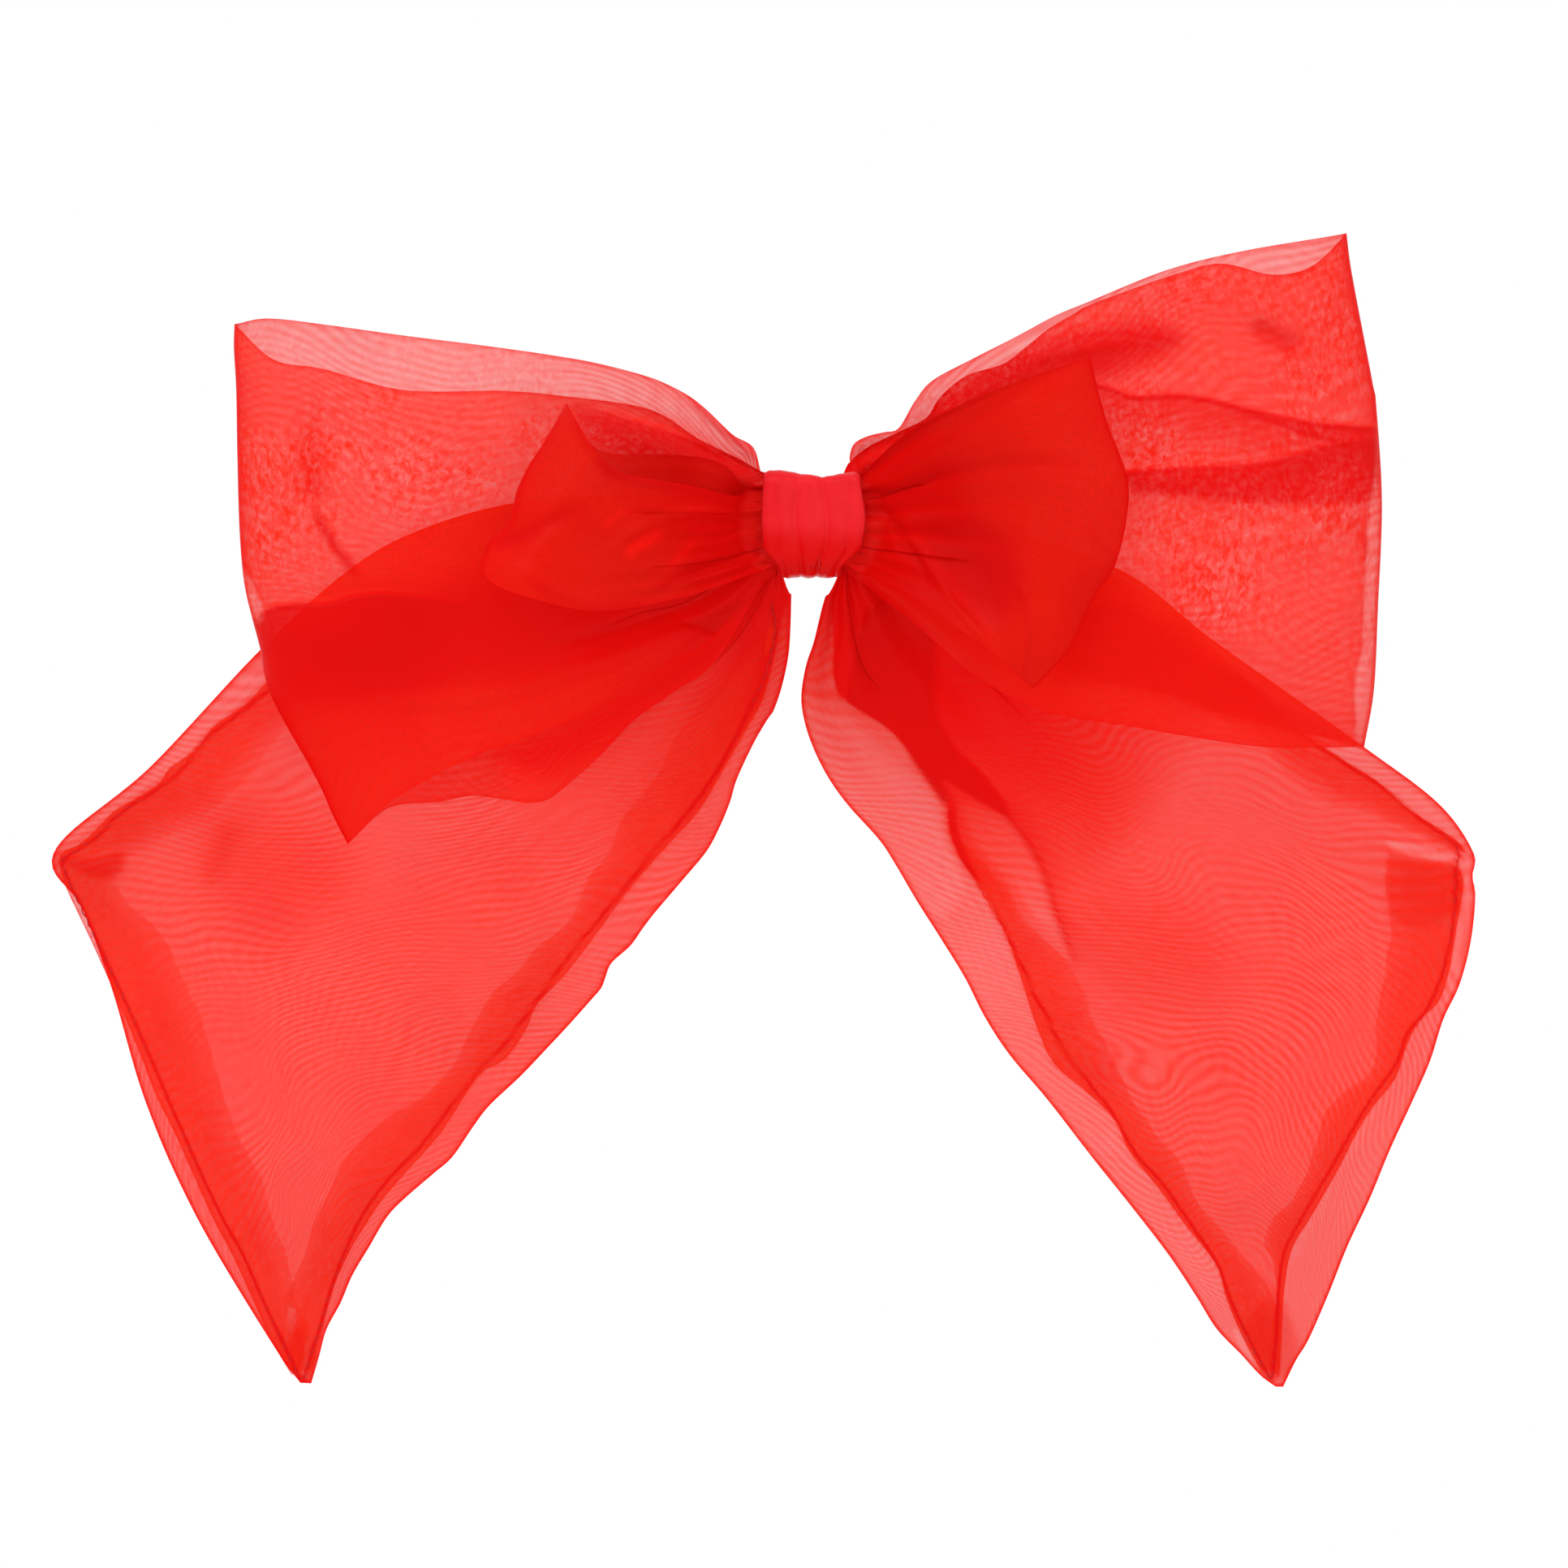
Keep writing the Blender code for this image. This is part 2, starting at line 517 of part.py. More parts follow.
for sign, side in ((1, "upper"), (-1, "lower")):
    y0 = latch_back + 0.8
    z0 = sign * (PRONG_Z - PRONG_T / 2)
    z1 = sign * (PRONG_Z + PRONG_T / 2)
    nib = sign * (PRONG_Z + PRONG_T / 2 + 0.45)
    side_view = [(y0, z0), (-0.3, z0), (-0.3, z1), (-0.75, nib), (-1.35, nib), (-1.5, z1), (y0, z1)]
    if sign < 0:
        side_view = side_view[::-1]
    prong = prism("barrette_latch_prong_%s" % side, side_view, 0, -1.5, 1.5, SPRING)
    prong.location = (LATCH_X * MM, 0.0, 0.0)
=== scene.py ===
import math

import bpy
import numpy as np
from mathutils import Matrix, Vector


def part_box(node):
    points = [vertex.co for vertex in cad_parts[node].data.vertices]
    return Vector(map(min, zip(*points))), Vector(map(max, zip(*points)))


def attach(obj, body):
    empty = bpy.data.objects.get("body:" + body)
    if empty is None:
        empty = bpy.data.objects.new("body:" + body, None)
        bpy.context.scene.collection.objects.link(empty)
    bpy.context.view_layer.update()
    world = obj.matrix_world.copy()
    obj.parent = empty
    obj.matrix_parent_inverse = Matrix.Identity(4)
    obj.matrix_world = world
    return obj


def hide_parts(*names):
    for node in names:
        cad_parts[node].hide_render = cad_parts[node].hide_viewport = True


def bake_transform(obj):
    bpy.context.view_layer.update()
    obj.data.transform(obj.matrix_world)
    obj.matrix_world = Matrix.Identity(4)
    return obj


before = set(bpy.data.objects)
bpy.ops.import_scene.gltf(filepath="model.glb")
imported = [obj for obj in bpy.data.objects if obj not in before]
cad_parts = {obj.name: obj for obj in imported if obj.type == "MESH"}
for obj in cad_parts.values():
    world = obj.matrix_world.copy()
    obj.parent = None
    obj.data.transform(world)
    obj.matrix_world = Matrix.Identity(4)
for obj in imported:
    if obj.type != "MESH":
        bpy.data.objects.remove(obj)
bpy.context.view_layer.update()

MM = 0.001
scene = bpy.context.scene

ROOT = "knot_and_barrette"
NECK_R = 12.8                      # the CAD loops and tails start at this radius


# =====================================================================
# camera, light, floor
# =====================================================================
def node_box(name):
    lo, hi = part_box(name)
    return np.array(lo) / MM, np.array(hi) / MM


band_lo, band_hi = node_box("centre_band")
KNOT = (band_lo + band_hi) / 2

cam_data = bpy.data.cameras.new("camera")
cam = bpy.data.objects.new("camera", cam_data)
scene.collection.objects.link(cam)
FRAME_W = 0.2744                   # width of the view at the bow
CAM_D = 2.5
cam_data.sensor_width = 36.0
cam_data.lens = 36.0 * CAM_D / FRAME_W
cam_data.clip_start, cam_data.clip_end = 0.05, 30.0
cam.location = (-0.00483, -0.027 - CAM_D, -0.0456)
cam.rotation_euler = (math.radians(90), 0, 0)
scene.camera = cam

world = bpy.data.worlds.new("studio")
scene.world = world
world.use_nodes = True
wt = world.node_tree
wt.nodes.clear()
w_out = wt.nodes.new("ShaderNodeOutputWorld")
w_mix = wt.nodes.new("ShaderNodeMixShader")
w_path = wt.nodes.new("ShaderNodeLightPath")
w_seen = wt.nodes.new("ShaderNodeBackground")
w_light = wt.nodes.new("ShaderNodeBackground")
w_seen.inputs["Color"].default_value = (1, 1, 1, 1)
w_seen.inputs["Strength"].default_value = 1.0
w_light.inputs["Color"].default_value = (1, 1, 1, 1)
w_light.inputs["Strength"].default_value = 0.80
wt.links.new(w_path.outputs["Is Camera Ray"], w_mix.inputs[0])
wt.links.new(w_light.outputs[0], w_mix.inputs[1])
wt.links.new(w_seen.outputs[0], w_mix.inputs[2])
wt.links.new(w_mix.outputs[0], w_out.inputs["Surface"])


def area_light(name, loc, target, size, power):
    data = bpy.data.lights.new(name, "AREA")
    data.shape = "DISK"
    data.size = size
    data.energy = power
    obj = bpy.data.objects.new(name, data)
    scene.collection.objects.link(obj)
    obj.location = loc
    obj.rotation_euler = (Vector(target) - Vector(loc)).to_track_quat("-Z", "Y").to_euler()
    return obj


area_light("key", (-0.9, -1.5, 1.3), (0, -0.02, -0.03), 0.9, 12.0)
area_light("fill", (1.3, -1.3, 0.3), (0, -0.02, -0.05), 1.2, 3.9)

floor_mesh = bpy.data.meshes.new("floor")
F_Z, F_R = -0.262, 1.15
ring = [(F_R * math.cos(2 * math.pi * k / 64), F_R * math.sin(2 * math.pi * k / 64), F_Z) for k in range(64)]
floor_mesh.from_pydata(ring, [], [list(range(64))])
floor = bpy.data.objects.new("floor", floor_mesh)
scene.collection.objects.link(floor)
floor_mat = bpy.data.materials.new("pale_floor")
floor_mat.use_nodes = True
floor_mat.node_tree.nodes["Principled BSDF"].inputs["Base Color"].default_value = (0.86, 0.86, 0.86, 1)
floor_mat.node_tree.nodes["Principled BSDF"].inputs["Roughness"].default_value = 0.9
floor_mesh.materials.append(floor_mat)

scene.view_settings.view_transform = "Standard"
scene.view_settings.look = "None"
scene.cycles.transparent_max_bounces = 40


# =====================================================================
# materials
# =====================================================================
def new_material(name):
    mat = bpy.data.materials.new(name)
    mat.use_nodes = True
    tree = mat.node_tree
    return mat, tree, tree.nodes["Principled BSDF"]


def math_node(tree, op, a, b=None, c=None, clamp=False):
    n = tree.nodes.new("ShaderNodeMath")
    n.operation = op
    n.use_clamp = clamp
    for k, x in enumerate((a, b, c)):
        if x is None:
            continue
        if isinstance(x, (int, float)):
            n.inputs[k].default_value = x
        else:
            tree.links.new(x, n.inputs[k])
    return n.outputs[0]


def noise_node(tree, vector, scale, detail=2.0, rough=0.5, distort=0.0):
    n = tree.nodes.new("ShaderNodeTexNoise")
    n.inputs["Scale"].default_value = scale
    n.inputs["Detail"].default_value = detail
    n.inputs["Roughness"].default_value = rough
    n.inputs["Distortion"].default_value = distort
    tree.links.new(vector, n.inputs["Vector"])
    return n.outputs["Fac"]


def mix_colour(tree, fac, a, b):
    n = tree.nodes.new("ShaderNodeMix")
    n.data_type = "RGBA"
    tree.links.new(fac, n.inputs[0])
    n.inputs[6].default_value = (*a, 1)
    n.inputs[7].default_value = (*b, 1)
    return n.outputs[2]


def organza(name, through=0.29, moire=0.20, grain=0.10, seed=0.0, way=(-330.0, 250.0), swirl=150.0,
            deep=(0.90, 0.0030, 0.0022), light=(0.975, 0.0240, 0.0040)):
    """Sheer doubled organza.  through is the share of green light that one doubled
    sheet lets by.  The sheet's attributes thicken it in folds and seams (dens),
    darken it with painted shade where little light reaches it from behind (shade), and set how coarse
    the grain is, how strong the fringes are, and the warmth of the thin cloth, that warmth
    lowered as painted shade where more cloth lies behind (coarse, fringe, warm)."""
    mat, tree, shader = new_material(name)
    uv = tree.nodes.new("ShaderNodeUVMap")
    uv.uv_map = "cloth"
    shift = tree.nodes.new("ShaderNodeMapping")
    shift.inputs["Location"].default_value = (seed * 1.7, seed * 0.9, seed * 2.3)
    tree.links.new(uv.outputs[0], shift.inputs["Vector"])
    v = shift.outputs[0]
    parts = tree.nodes.new("ShaderNodeSeparateXYZ")
    tree.links.new(v, parts.inputs[0])
    dens = tree.nodes.new("ShaderNodeAttribute")
    dens.attribute_name = "dens"
    shade = tree.nodes.new("ShaderNodeAttribute")
    shade.attribute_name = "shade"
    coarse = tree.nodes.new("ShaderNodeAttribute")
    coarse.attribute_name = "coarse"
    fringe = tree.nodes.new("ShaderNodeAttribute")
    fringe.attribute_name = "fringe"
    warmth_and_shade = tree.nodes.new("ShaderNodeAttribute")
    warmth_and_shade.attribute_name = "warmth_and_shade"
    # moire: contour bands of two slow fields, the two plies' weaves beating
    n1 = noise_node(tree, v, 2.6, 1.0, 0.42, 0.3)
    n2 = noise_node(tree, v, 4.3, 0.6, 0.4, 0.4)
    p1 = math_node(tree, "MULTIPLY_ADD", n1, swirl, math_node(tree, "MULTIPLY_ADD", parts.outputs[0], way[0],
                                                              math_node(tree, "MULTIPLY", parts.outputs[1], way[1])))
    p2 = math_node(tree, "MULTIPLY_ADD", n2, 60.0, math_node(tree, "MULTIPLY_ADD", parts.outputs[1], 250.0,
                                                             math_node(tree, "MULTIPLY", parts.outputs[0], -70.0)))
    s1 = math_node(tree, "SINE", p1)
    s2 = math_node(tree, "SINE", p2)
    patch = noise_node(tree, v, 5.0, 1.0, 0.5, 0.0)
    strength = math_node(tree, "MULTIPLY_ADD", patch, 2.4, -0.55, clamp=True)
    both = math_node(tree, "MULTIPLY_ADD", s2, 0.35, s1)
    bands = math_node(tree, "MULTIPLY", both, math_node(tree, "MULTIPLY", math_node(tree, "MULTIPLY", strength, moire), fringe.outputs["Fac"]))
    # grain: short wandering streaks a couple of millimetres apart
    lay = tree.nodes.new("ShaderNodeMapping")
    lay.inputs["Rotation"].default_value = (0, 0, 0.9 + seed)
    lay.inputs["Scale"].default_value = (1.0, 0.66, 1.0)
    tree.links.new(v, lay.inputs["Vector"])
    g1 = noise_node(tree, lay.outputs[0], 96.0, 1.4, 0.5, 0.6)
    g2 = math_node(tree, "MULTIPLY_ADD", g1, 6.0, -3.0)
    calm = math_node(tree, "SUBTRACT", 1.1, strength, clamp=True)
    grains = math_node(tree, "MULTIPLY", g2, math_node(tree, "MULTIPLY", math_node(tree, "MULTIPLY", calm, grain), coarse.outputs["Fac"]))
    # the weave itself
    warp = math_node(tree, "SINE", math_node(tree, "MULTIPLY", parts.outputs[0], 2 * math.pi * 100 / 0.36))
    weft = math_node(tree, "SINE", math_node(tree, "MULTIPLY", parts.outputs[1], 2 * math.pi * 100 / 0.36))
    weave = math_node(tree, "MULTIPLY", math_node(tree, "ADD", warp, weft), 0.022)
    slub = noise_node(tree, v, 34.0, 3.0, 0.6)
    slow = noise_node(tree, v, 2.4, 1.0, 0.5)
    cloud = math_node(tree, "MULTIPLY_ADD", slub, 0.14, math_node(tree, "MULTIPLY_ADD", slow, 0.30, -0.22))
    total = math_node(tree, "ADD", math_node(tree, "ADD", bands, grains),
                      math_node(tree, "ADD", weave, math_node(tree, "ADD", cloud, 1.0)))
    share = math_node(tree, "MULTIPLY", math_node(tree, "MAXIMUM", total, 0.16), through)
    passed = math_node(tree, "POWER", share, dens.outputs["Fac"])
    alpha = math_node(tree, "SUBTRACT", 1.0, passed, clamp=True)
    tree.links.new(alpha, shader.inputs["Alpha"])
    tone = noise_node(tree, v, 9.0, 2.0, 0.55)
    sheer = math_node(tree, "MULTIPLY_ADD", dens.outputs["Fac"], -1.05, 2.15, clamp=True)
    # painted shade: a lower warmth value pulls the colour towards the deep red
    sheer = math_node(tree, "MULTIPLY", sheer, warmth_and_shade.outputs["Fac"])
    tone = math_node(tree, "MULTIPLY", math_node(tree, "MULTIPLY_ADD", tone, 0.9, 0.30, clamp=True), sheer)
    scale = tree.nodes.new("ShaderNodeVectorMath")
    scale.operation = "SCALE"
    tree.links.new(mix_colour(tree, tone, deep, light), scale.inputs[0])
    tree.links.new(shade.outputs["Fac"], scale.inputs["Scale"])
    tree.links.new(scale.outputs[0], shader.inputs["Base Color"])
    bump = tree.nodes.new("ShaderNodeBump")
    bump.inputs["Strength"].default_value = 0.16
    bump.inputs["Distance"].default_value = 0.0004
    crease = noise_node(tree, v, 14.0, 3.0, 0.55, 0.3)
    height = math_node(tree, "MULTIPLY_ADD", weave, 1.4, crease)
    tree.links.new(height, bump.inputs["Height"])
    tree.links.new(bump.outputs[0], shader.inputs["Normal"])
    rough = math_node(tree, "MULTIPLY_ADD", slub, 0.12, 0.36)
    tree.links.new(rough, shader.inputs["Roughness"])
    shader.inputs["Specular IOR Level"].default_value = 0.045
    shader.inputs["Sheen Weight"].default_value = 0.012
    shader.inputs["Sheen Roughness"].default_value = 0.4
    shader.inputs["Sheen Tint"].default_value = (1.0, 0.25, 0.22, 1)
    return mat


def satin(name):
    mat, tree, shader = new_material(name)
    uv = tree.nodes.new("ShaderNodeUVMap")
    uv.uv_map = "cloth"
    parts = tree.nodes.new("ShaderNodeSeparateXYZ")
    tree.links.new(uv.outputs[0], parts.inputs[0])
    tone = noise_node(tree, uv.outputs[0], 26.0, 3.0, 0.6)
    # painted shade: the mask read here mixes the band's colour towards a deep red; it is high at the band's bottom and
    # a little on its left side
    painted_shade_mask = tree.nodes.new("ShaderNodeAttribute")
    painted_shade_mask.attribute_name = "painted_shade_mask"
    both = tree.nodes.new("ShaderNodeMix")
    both.data_type = "RGBA"
    tree.links.new(painted_shade_mask.outputs["Fac"], both.inputs[0])
    tree.links.new(mix_colour(tree, tone, (0.78, 0.009, 0.017), (0.93, 0.021, 0.031)), both.inputs[6])
    both.inputs[7].default_value = (0.74, 0.0010, 0.0012, 1)
    tree.links.new(both.outputs[2], shader.inputs["Base Color"])
    shader.inputs["Specular IOR Level"].default_value = 0.10
    shader.inputs["Sheen Weight"].default_value = 0.06
    yarn = math_node(tree, "SINE", math_node(tree, "MULTIPLY", parts.outputs[0], 2 * math.pi * 100 / 0.22))
    rib = math_node(tree, "SINE", math_node(tree, "MULTIPLY", parts.outputs[1], 2 * math.pi * 100 / 0.55))
    streak = tree.nodes.new("ShaderNodeMapping")
    streak.inputs["Scale"].default_value = (60.0, 6.0, 1.0)
    tree.links.new(uv.outputs[0], streak.inputs["Vector"])
    lines = noise_node(tree, streak.outputs[0], 3.0, 3.0, 0.6)
    h = math_node(tree, "MULTIPLY_ADD", yarn, 0.18, math_node(tree, "MULTIPLY_ADD", rib, 0.08, lines))
    bump = tree.nodes.new("ShaderNodeBump")
    bump.inputs["Strength"].default_value = 0.35
    bump.inputs["Distance"].default_value = 0.00015
    tree.links.new(h, bump.inputs["Height"])
    tree.links.new(bump.outputs[0], shader.inputs["Normal"])
    tree.links.new(math_node(tree, "MULTIPLY_ADD", lines, 0.16, 0.24), shader.inputs["Roughness"])
    shader.inputs["Anisotropic"].default_value = 0.5
    shader.inputs["Sheen Roughness"].default_value = 0.3
    shader.inputs["Sheen Tint"].default_value = (1.0, 0.45, 0.45, 1)
    return mat


def thread_material(name):
    mat, tree, shader = new_material(name)
    co = tree.nodes.new("ShaderNodeTexCoord")
    tone = noise_node(tree, co.outputs["Object"], 900.0, 2.0, 0.6)
    tree.links.new(mix_colour(tree, tone, (0.50, 0.004, 0.006), (0.80, 0.012, 0.014)), shader.inputs["Base Color"])
    twist = tree.nodes.new("ShaderNodeTexWave")
    twist.inputs["Scale"].default_value = 900.0
    twist.inputs["Distortion"].default_value = 1.0
    tree.links.new(co.outputs["Object"], twist.inputs["Vector"])
    bump = tree.nodes.new("ShaderNodeBump")
    bump.inputs["Strength"].default_value = 0.5
    bump.inputs["Distance"].default_value = 0.00006
    tree.links.new(twist.outputs["Fac"], bump.inputs["Height"])
    tree.links.new(bump.outputs[0], shader.inputs["Normal"])
    tree.links.new(math_node(tree, "MULTIPLY_ADD", tone, 0.2, 0.45), shader.inputs["Roughness"])
    shader.inputs["Specular IOR Level"].default_value = 0.25
    return mat


def metal(name, light, dark, rough, brush=(1.0, 30.0, 30.0)):
    mat, tree, shader = new_material(name)
    co = tree.nodes.new("ShaderNodeTexCoord")
    m = tree.nodes.new("ShaderNodeMapping")
    m.inputs["Scale"].default_value = tuple(60.0 * b for b in brush)
    tree.links.new(co.outputs["Object"], m.inputs["Vector"])
    grain = noise_node(tree, m.outputs[0], 1.0, 4.0, 0.65)
    wear = noise_node(tree, co.outputs["Object"], 130.0, 4.0, 0.6)
    geo = tree.nodes.new("ShaderNodeNewGeometry")
    edge = math_node(tree, "MULTIPLY_ADD", geo.outputs["Pointiness"], 6.0, -2.75, clamp=True)
    tone = math_node(tree, "ADD", math_node(tree, "MULTIPLY", wear, 0.6), math_node(tree, "MULTIPLY", edge, 0.4), clamp=True)
    tree.links.new(mix_colour(tree, tone, dark, light), shader.inputs["Base Color"])
    shader.inputs["Metallic"].default_value = 1.0
    tree.links.new(math_node(tree, "MULTIPLY_ADD", grain, 0.16, rough - 0.08), shader.inputs["Roughness"])
    bump = tree.nodes.new("ShaderNodeBump")
    bump.inputs["Strength"].default_value = 0.25
    bump.inputs["Distance"].default_value = 0.00004
    tree.links.new(grain, bump.inputs["Height"])
    tree.links.new(bump.outputs[0], shader.inputs["Normal"])
    return mat


NICKEL = metal("nickel_plate", (0.82, 0.80, 0.76), (0.62, 0.60, 0.56), 0.26)
SPRING = metal("spring_steel", (0.66, 0.66, 0.67), (0.44, 0.44, 0.46), 0.34)
SATIN = satin("satin_ribbon")
THREAD = thread_material("polyester_thread")


# =====================================================================
# helpers for shapes, all in millimetres until the mesh is made
# =====================================================================
def dense(points, per=24):
    p = np.array(points, float)
    ext = np.vstack([2 * p[0] - p[1], p, 2 * p[-1] - p[-2]])
    out = []
    t = np.linspace(0, 1, per, endpoint=False)[:, None]
    for k in range(1, len(ext) - 2):
        a, b, c, d = ext[k - 1], ext[k], ext[k + 1], ext[k + 2]
        out.append(0.5 * (2 * b + (c - a) * t + (2 * a - 5 * b + 4 * c - d) * t ** 2
                          + (3 * b - a - 3 * c + d) * t ** 3))
    out.append(p[-1:])
    return np.vstack(out)


class Line:
    """A smooth curve through drafted points, read by its share of the length."""

    def __init__(self, points):
        self.p = dense(points)
        step = np.linalg.norm(np.diff(self.p, axis=0), axis=1)
        self.s = np.concatenate([[0], np.cumsum(step)])
        self.length = self.s[-1]

    def at(self, f):
        f = np.asarray(f, float) * self.length
        return np.stack([np.interp(f, self.s, self.p[:, k]) for k in range(self.p.shape[1])], -1)


def profile(values, us):
    pts = dense(values, 30)
    order = np.argsort(pts[:, 0])
    return np.interp(us, pts[order, 0], pts[order, 1])


def linear(values, us):
    a = np.array(values, float)
    return np.interp(us, a[:, 0], a[:, 1])


def arc_point(radius, deg0, deg1, v):
    ang = np.radians(deg0 + (deg1 - deg0) * np.asarray(v, float))
    return np.stack([radius * np.cos(ang), radius * np.sin(ang)], -1)


def wobble(a, b, scale, seed):
    """Slow smooth noise from -1 to 1 over two coordinates in millimetres."""
    rng = np.random.RandomState(seed)
    out = 0.0
    for k in range(6):
        ang = rng.uniform(0, 2 * math.pi)
        f = (2 * math.pi / scale) * rng.uniform(0.55, 1.5)
        out = out + np.sin(f * (math.cos(ang) * a + math.sin(ang) * b) + rng.uniform(0, 6.28))
    return out / 3.2


def smoothstep(x):
    x = np.clip(x, 0, 1)
    return x * x * (3 - 2 * x)


def fades(share, fade):
    """Ramp up over the first part of a path and down over the last."""
    a, b = fade
    up = smoothstep(share / a) if a > 0 else 1.0
    down = smoothstep((1 - share) / b) if b > 0 else 1.0
    return up * down


def nearest(x, z, path, per=5):
    """Distance to a drafted path in the XZ plane, the side of it a point lies on
    (+1 left of the way it runs) and how far along it the nearest point is."""
    pts = dense(path, per)
    step = np.linalg.norm(np.diff(pts, axis=0), axis=1)
    run = np.concatenate([[0], np.cumsum(step)])
    best, side, share = np.full(x.shape, 1e9), np.zeros(x.shape), np.zeros(x.shape)
    for k in range(len(pts) - 1):
        a, ab = pts[k], pts[k + 1] - pts[k]
        t = np.clip(((x - a[0]) * ab[0] + (z - a[1]) * ab[1]) / max(ab @ ab, 1e-9), 0, 1)
        dx, dz = x - a[0] - t * ab[0], z - a[1] - t * ab[1]
        d = dx * dx + dz * dz
        m = d < best
        best = np.where(m, d, best)
        side = np.where(m, np.sign(ab[0] * dz - ab[1] * dx), side)
        share = np.where(m, (run[k] + t * step[k]) / run[-1], share)
    return np.sqrt(best), side, share


def within(x, z, poly, soft):
    """1 inside a drafted outline, 0 outside, over a border of the given softness."""
    p = dense(list(poly) + [poly[0]], 4)
    odd = np.zeros(x.shape, bool)
    best = np.full(x.shape, 1e9)
    for k in range(len(p) - 1):
        a, b = p[k], p[k + 1]
        ab = b - a
        hit = (a[1] > z) != (b[1] > z)
        cut = a[0] + (z - a[1]) * ab[0] / (ab[1] if abs(ab[1]) > 1e-9 else 1e-9)
        odd ^= hit & (x < cut)
        t = np.clip(((x - a[0]) * ab[0] + (z - a[1]) * ab[1]) / max(ab @ ab, 1e-9), 0, 1)
        best = np.minimum(best, (x - a[0] - t * ab[0]) ** 2 + (z - a[1] - t * ab[1]) ** 2)
    s = np.where(odd, 1.0, -1.0) * np.sqrt(best)
    return smoothstep(0.5 + s / (2 * soft))


def marks_at(x, z, marks):
    """What the drafted folds do at each point: cloth added, how far it lifts off
    towards the front, light caught, and the share of cloth left in thin strips."""
    dens, lift, shine, thin = np.zeros(x.shape), np.zeros(x.shape), np.zeros(x.shape), np.ones(x.shape)
    for m in marks:
        if m[0] == "crease":
            _, path, width, add, up, fade = m
            d, side, share = nearest(x, z, path)
            f = np.exp(-(d / width) ** 2) * fades(share, fade)
            dens += add * f
            lift += up * f
        elif m[0] == "step":
            _, path, way, reach, add, up, line, fade = m
            d, side, share = nearest(x, z, path)
            f = np.where(side * way > 0, np.exp(-(d / reach) ** 2), 0.0) * fades(share, fade)
            g = np.where(side * way > 0, np.exp(-(d / reach) ** 2), np.exp(-(d / 0.7) ** 2)) * fades(share, fade)
            dens += add * f + line * np.exp(-(d / 0.38) ** 2) * fades(share, fade)
            lift += up * g
        elif m[0] == "patch":
            _, poly, soft, add, up = m
            f = within(x, z, poly, soft)
            dens += add * f
            lift += up * f
        elif m[0] == "shine":
            _, path, width, amount, fade = m
            d, side, share = nearest(x, z, path)
            shine += amount * np.exp(-(d / width) ** 2) * fades(share, fade)
        elif m[0] == "thin":
            _, poly, soft, factor = m
            thin *= 1 - (1 - factor) * within(x, z, poly, soft)
    return dens, lift, shine, thin


def streaks(V, seed, lo=4.0, hi=13.0):
    rng = np.random.RandomState(seed)
    out = 0.0
    for k in range(7):
        out = out + rng.uniform(0.5, 1.0) * np.sin(2 * math.pi * rng.uniform(lo, hi) * V + rng.uniform(0, 6.28))
    return out / 2.6


def put(obj, name, values):
    att = obj.data.attributes.new(name, "FLOAT", "POINT")
    att.data.foreach_set("value", np.asarray(values, np.float32).ravel())


def turned_away(obj, floor=0.42, power=0.8):
    """Cloth seen at a slant holds more thread along the line of sight."""
    n = np.empty(len(obj.data.vertices) * 3, np.float32)
    obj.data.vertices.foreach_get("normal", n)
    return 1.0 / np.maximum(np.abs(n.reshape(-1, 3)[:, 1]), floor) ** power


def make_mesh(name, verts, faces, mat, uv=None, smooth=True):
    mesh = bpy.data.meshes.new(name)
    mesh.from_pydata([tuple(v) for v in (np.asarray(verts, float) * MM)], [], [tuple(int(i) for i in f) for f in faces])
    mesh.update()
    if smooth:
        mesh.shade_smooth()
    if uv is not None:
        layer = mesh.uv_layers.new(name="cloth")
        idx = np.empty(len(mesh.loops), np.int32)
        mesh.loops.foreach_get("vertex_index", idx)
        flat = (np.asarray(uv, float)[idx] / 100.0).astype(np.float32)
        layer.data.foreach_set("uv", flat.ravel())
    mesh.materials.append(mat)
    obj = bpy.data.objects.new(name, mesh)
    scene.collection.objects.link(obj)
    return obj


def grid_faces(rows, cols, base=0, flip=False):
    i, j = np.meshgrid(np.arange(rows - 1), np.arange(cols - 1), indexing="ij")
    a = (base + i * cols + j).ravel()
    quads = np.stack([a, a + cols, a + cols + 1, a + 1], 1)
    return quads[:, ::-1] if flip else quads


def cloth_uv(P):
    """Flat cloth coordinates in mm: run along rows and along columns."""
    du = np.linalg.norm(np.diff(P, axis=0), axis=-1).mean(1)
    s = np.concatenate([[0], np.cumsum(du)])
    dv = np.linalg.norm(np.diff(P, axis=1), axis=-1)
    t = np.concatenate([np.zeros((len(P), 1)), np.cumsum(dv, axis=1)], 1)
    wide = t[:, -1].max()
    t = t / np.maximum(t[:, -1:], 1e-6) * wide
    return np.stack([np.repeat(s[:, None], P.shape[1], 1), t], -1)


def area_of(P):
    a = P[1:, :-1] - P[:-1, :-1]
    b = P[:-1, 1:] - P[:-1, :-1]
    c = P[1:, :-1] - P[1:, 1:]
    d = P[:-1, 1:] - P[1:, 1:]
    return (np.linalg.norm(np.cross(a, b), axis=-1).sum() + np.linalg.norm(np.cross(c, d), axis=-1).sum()) / 2


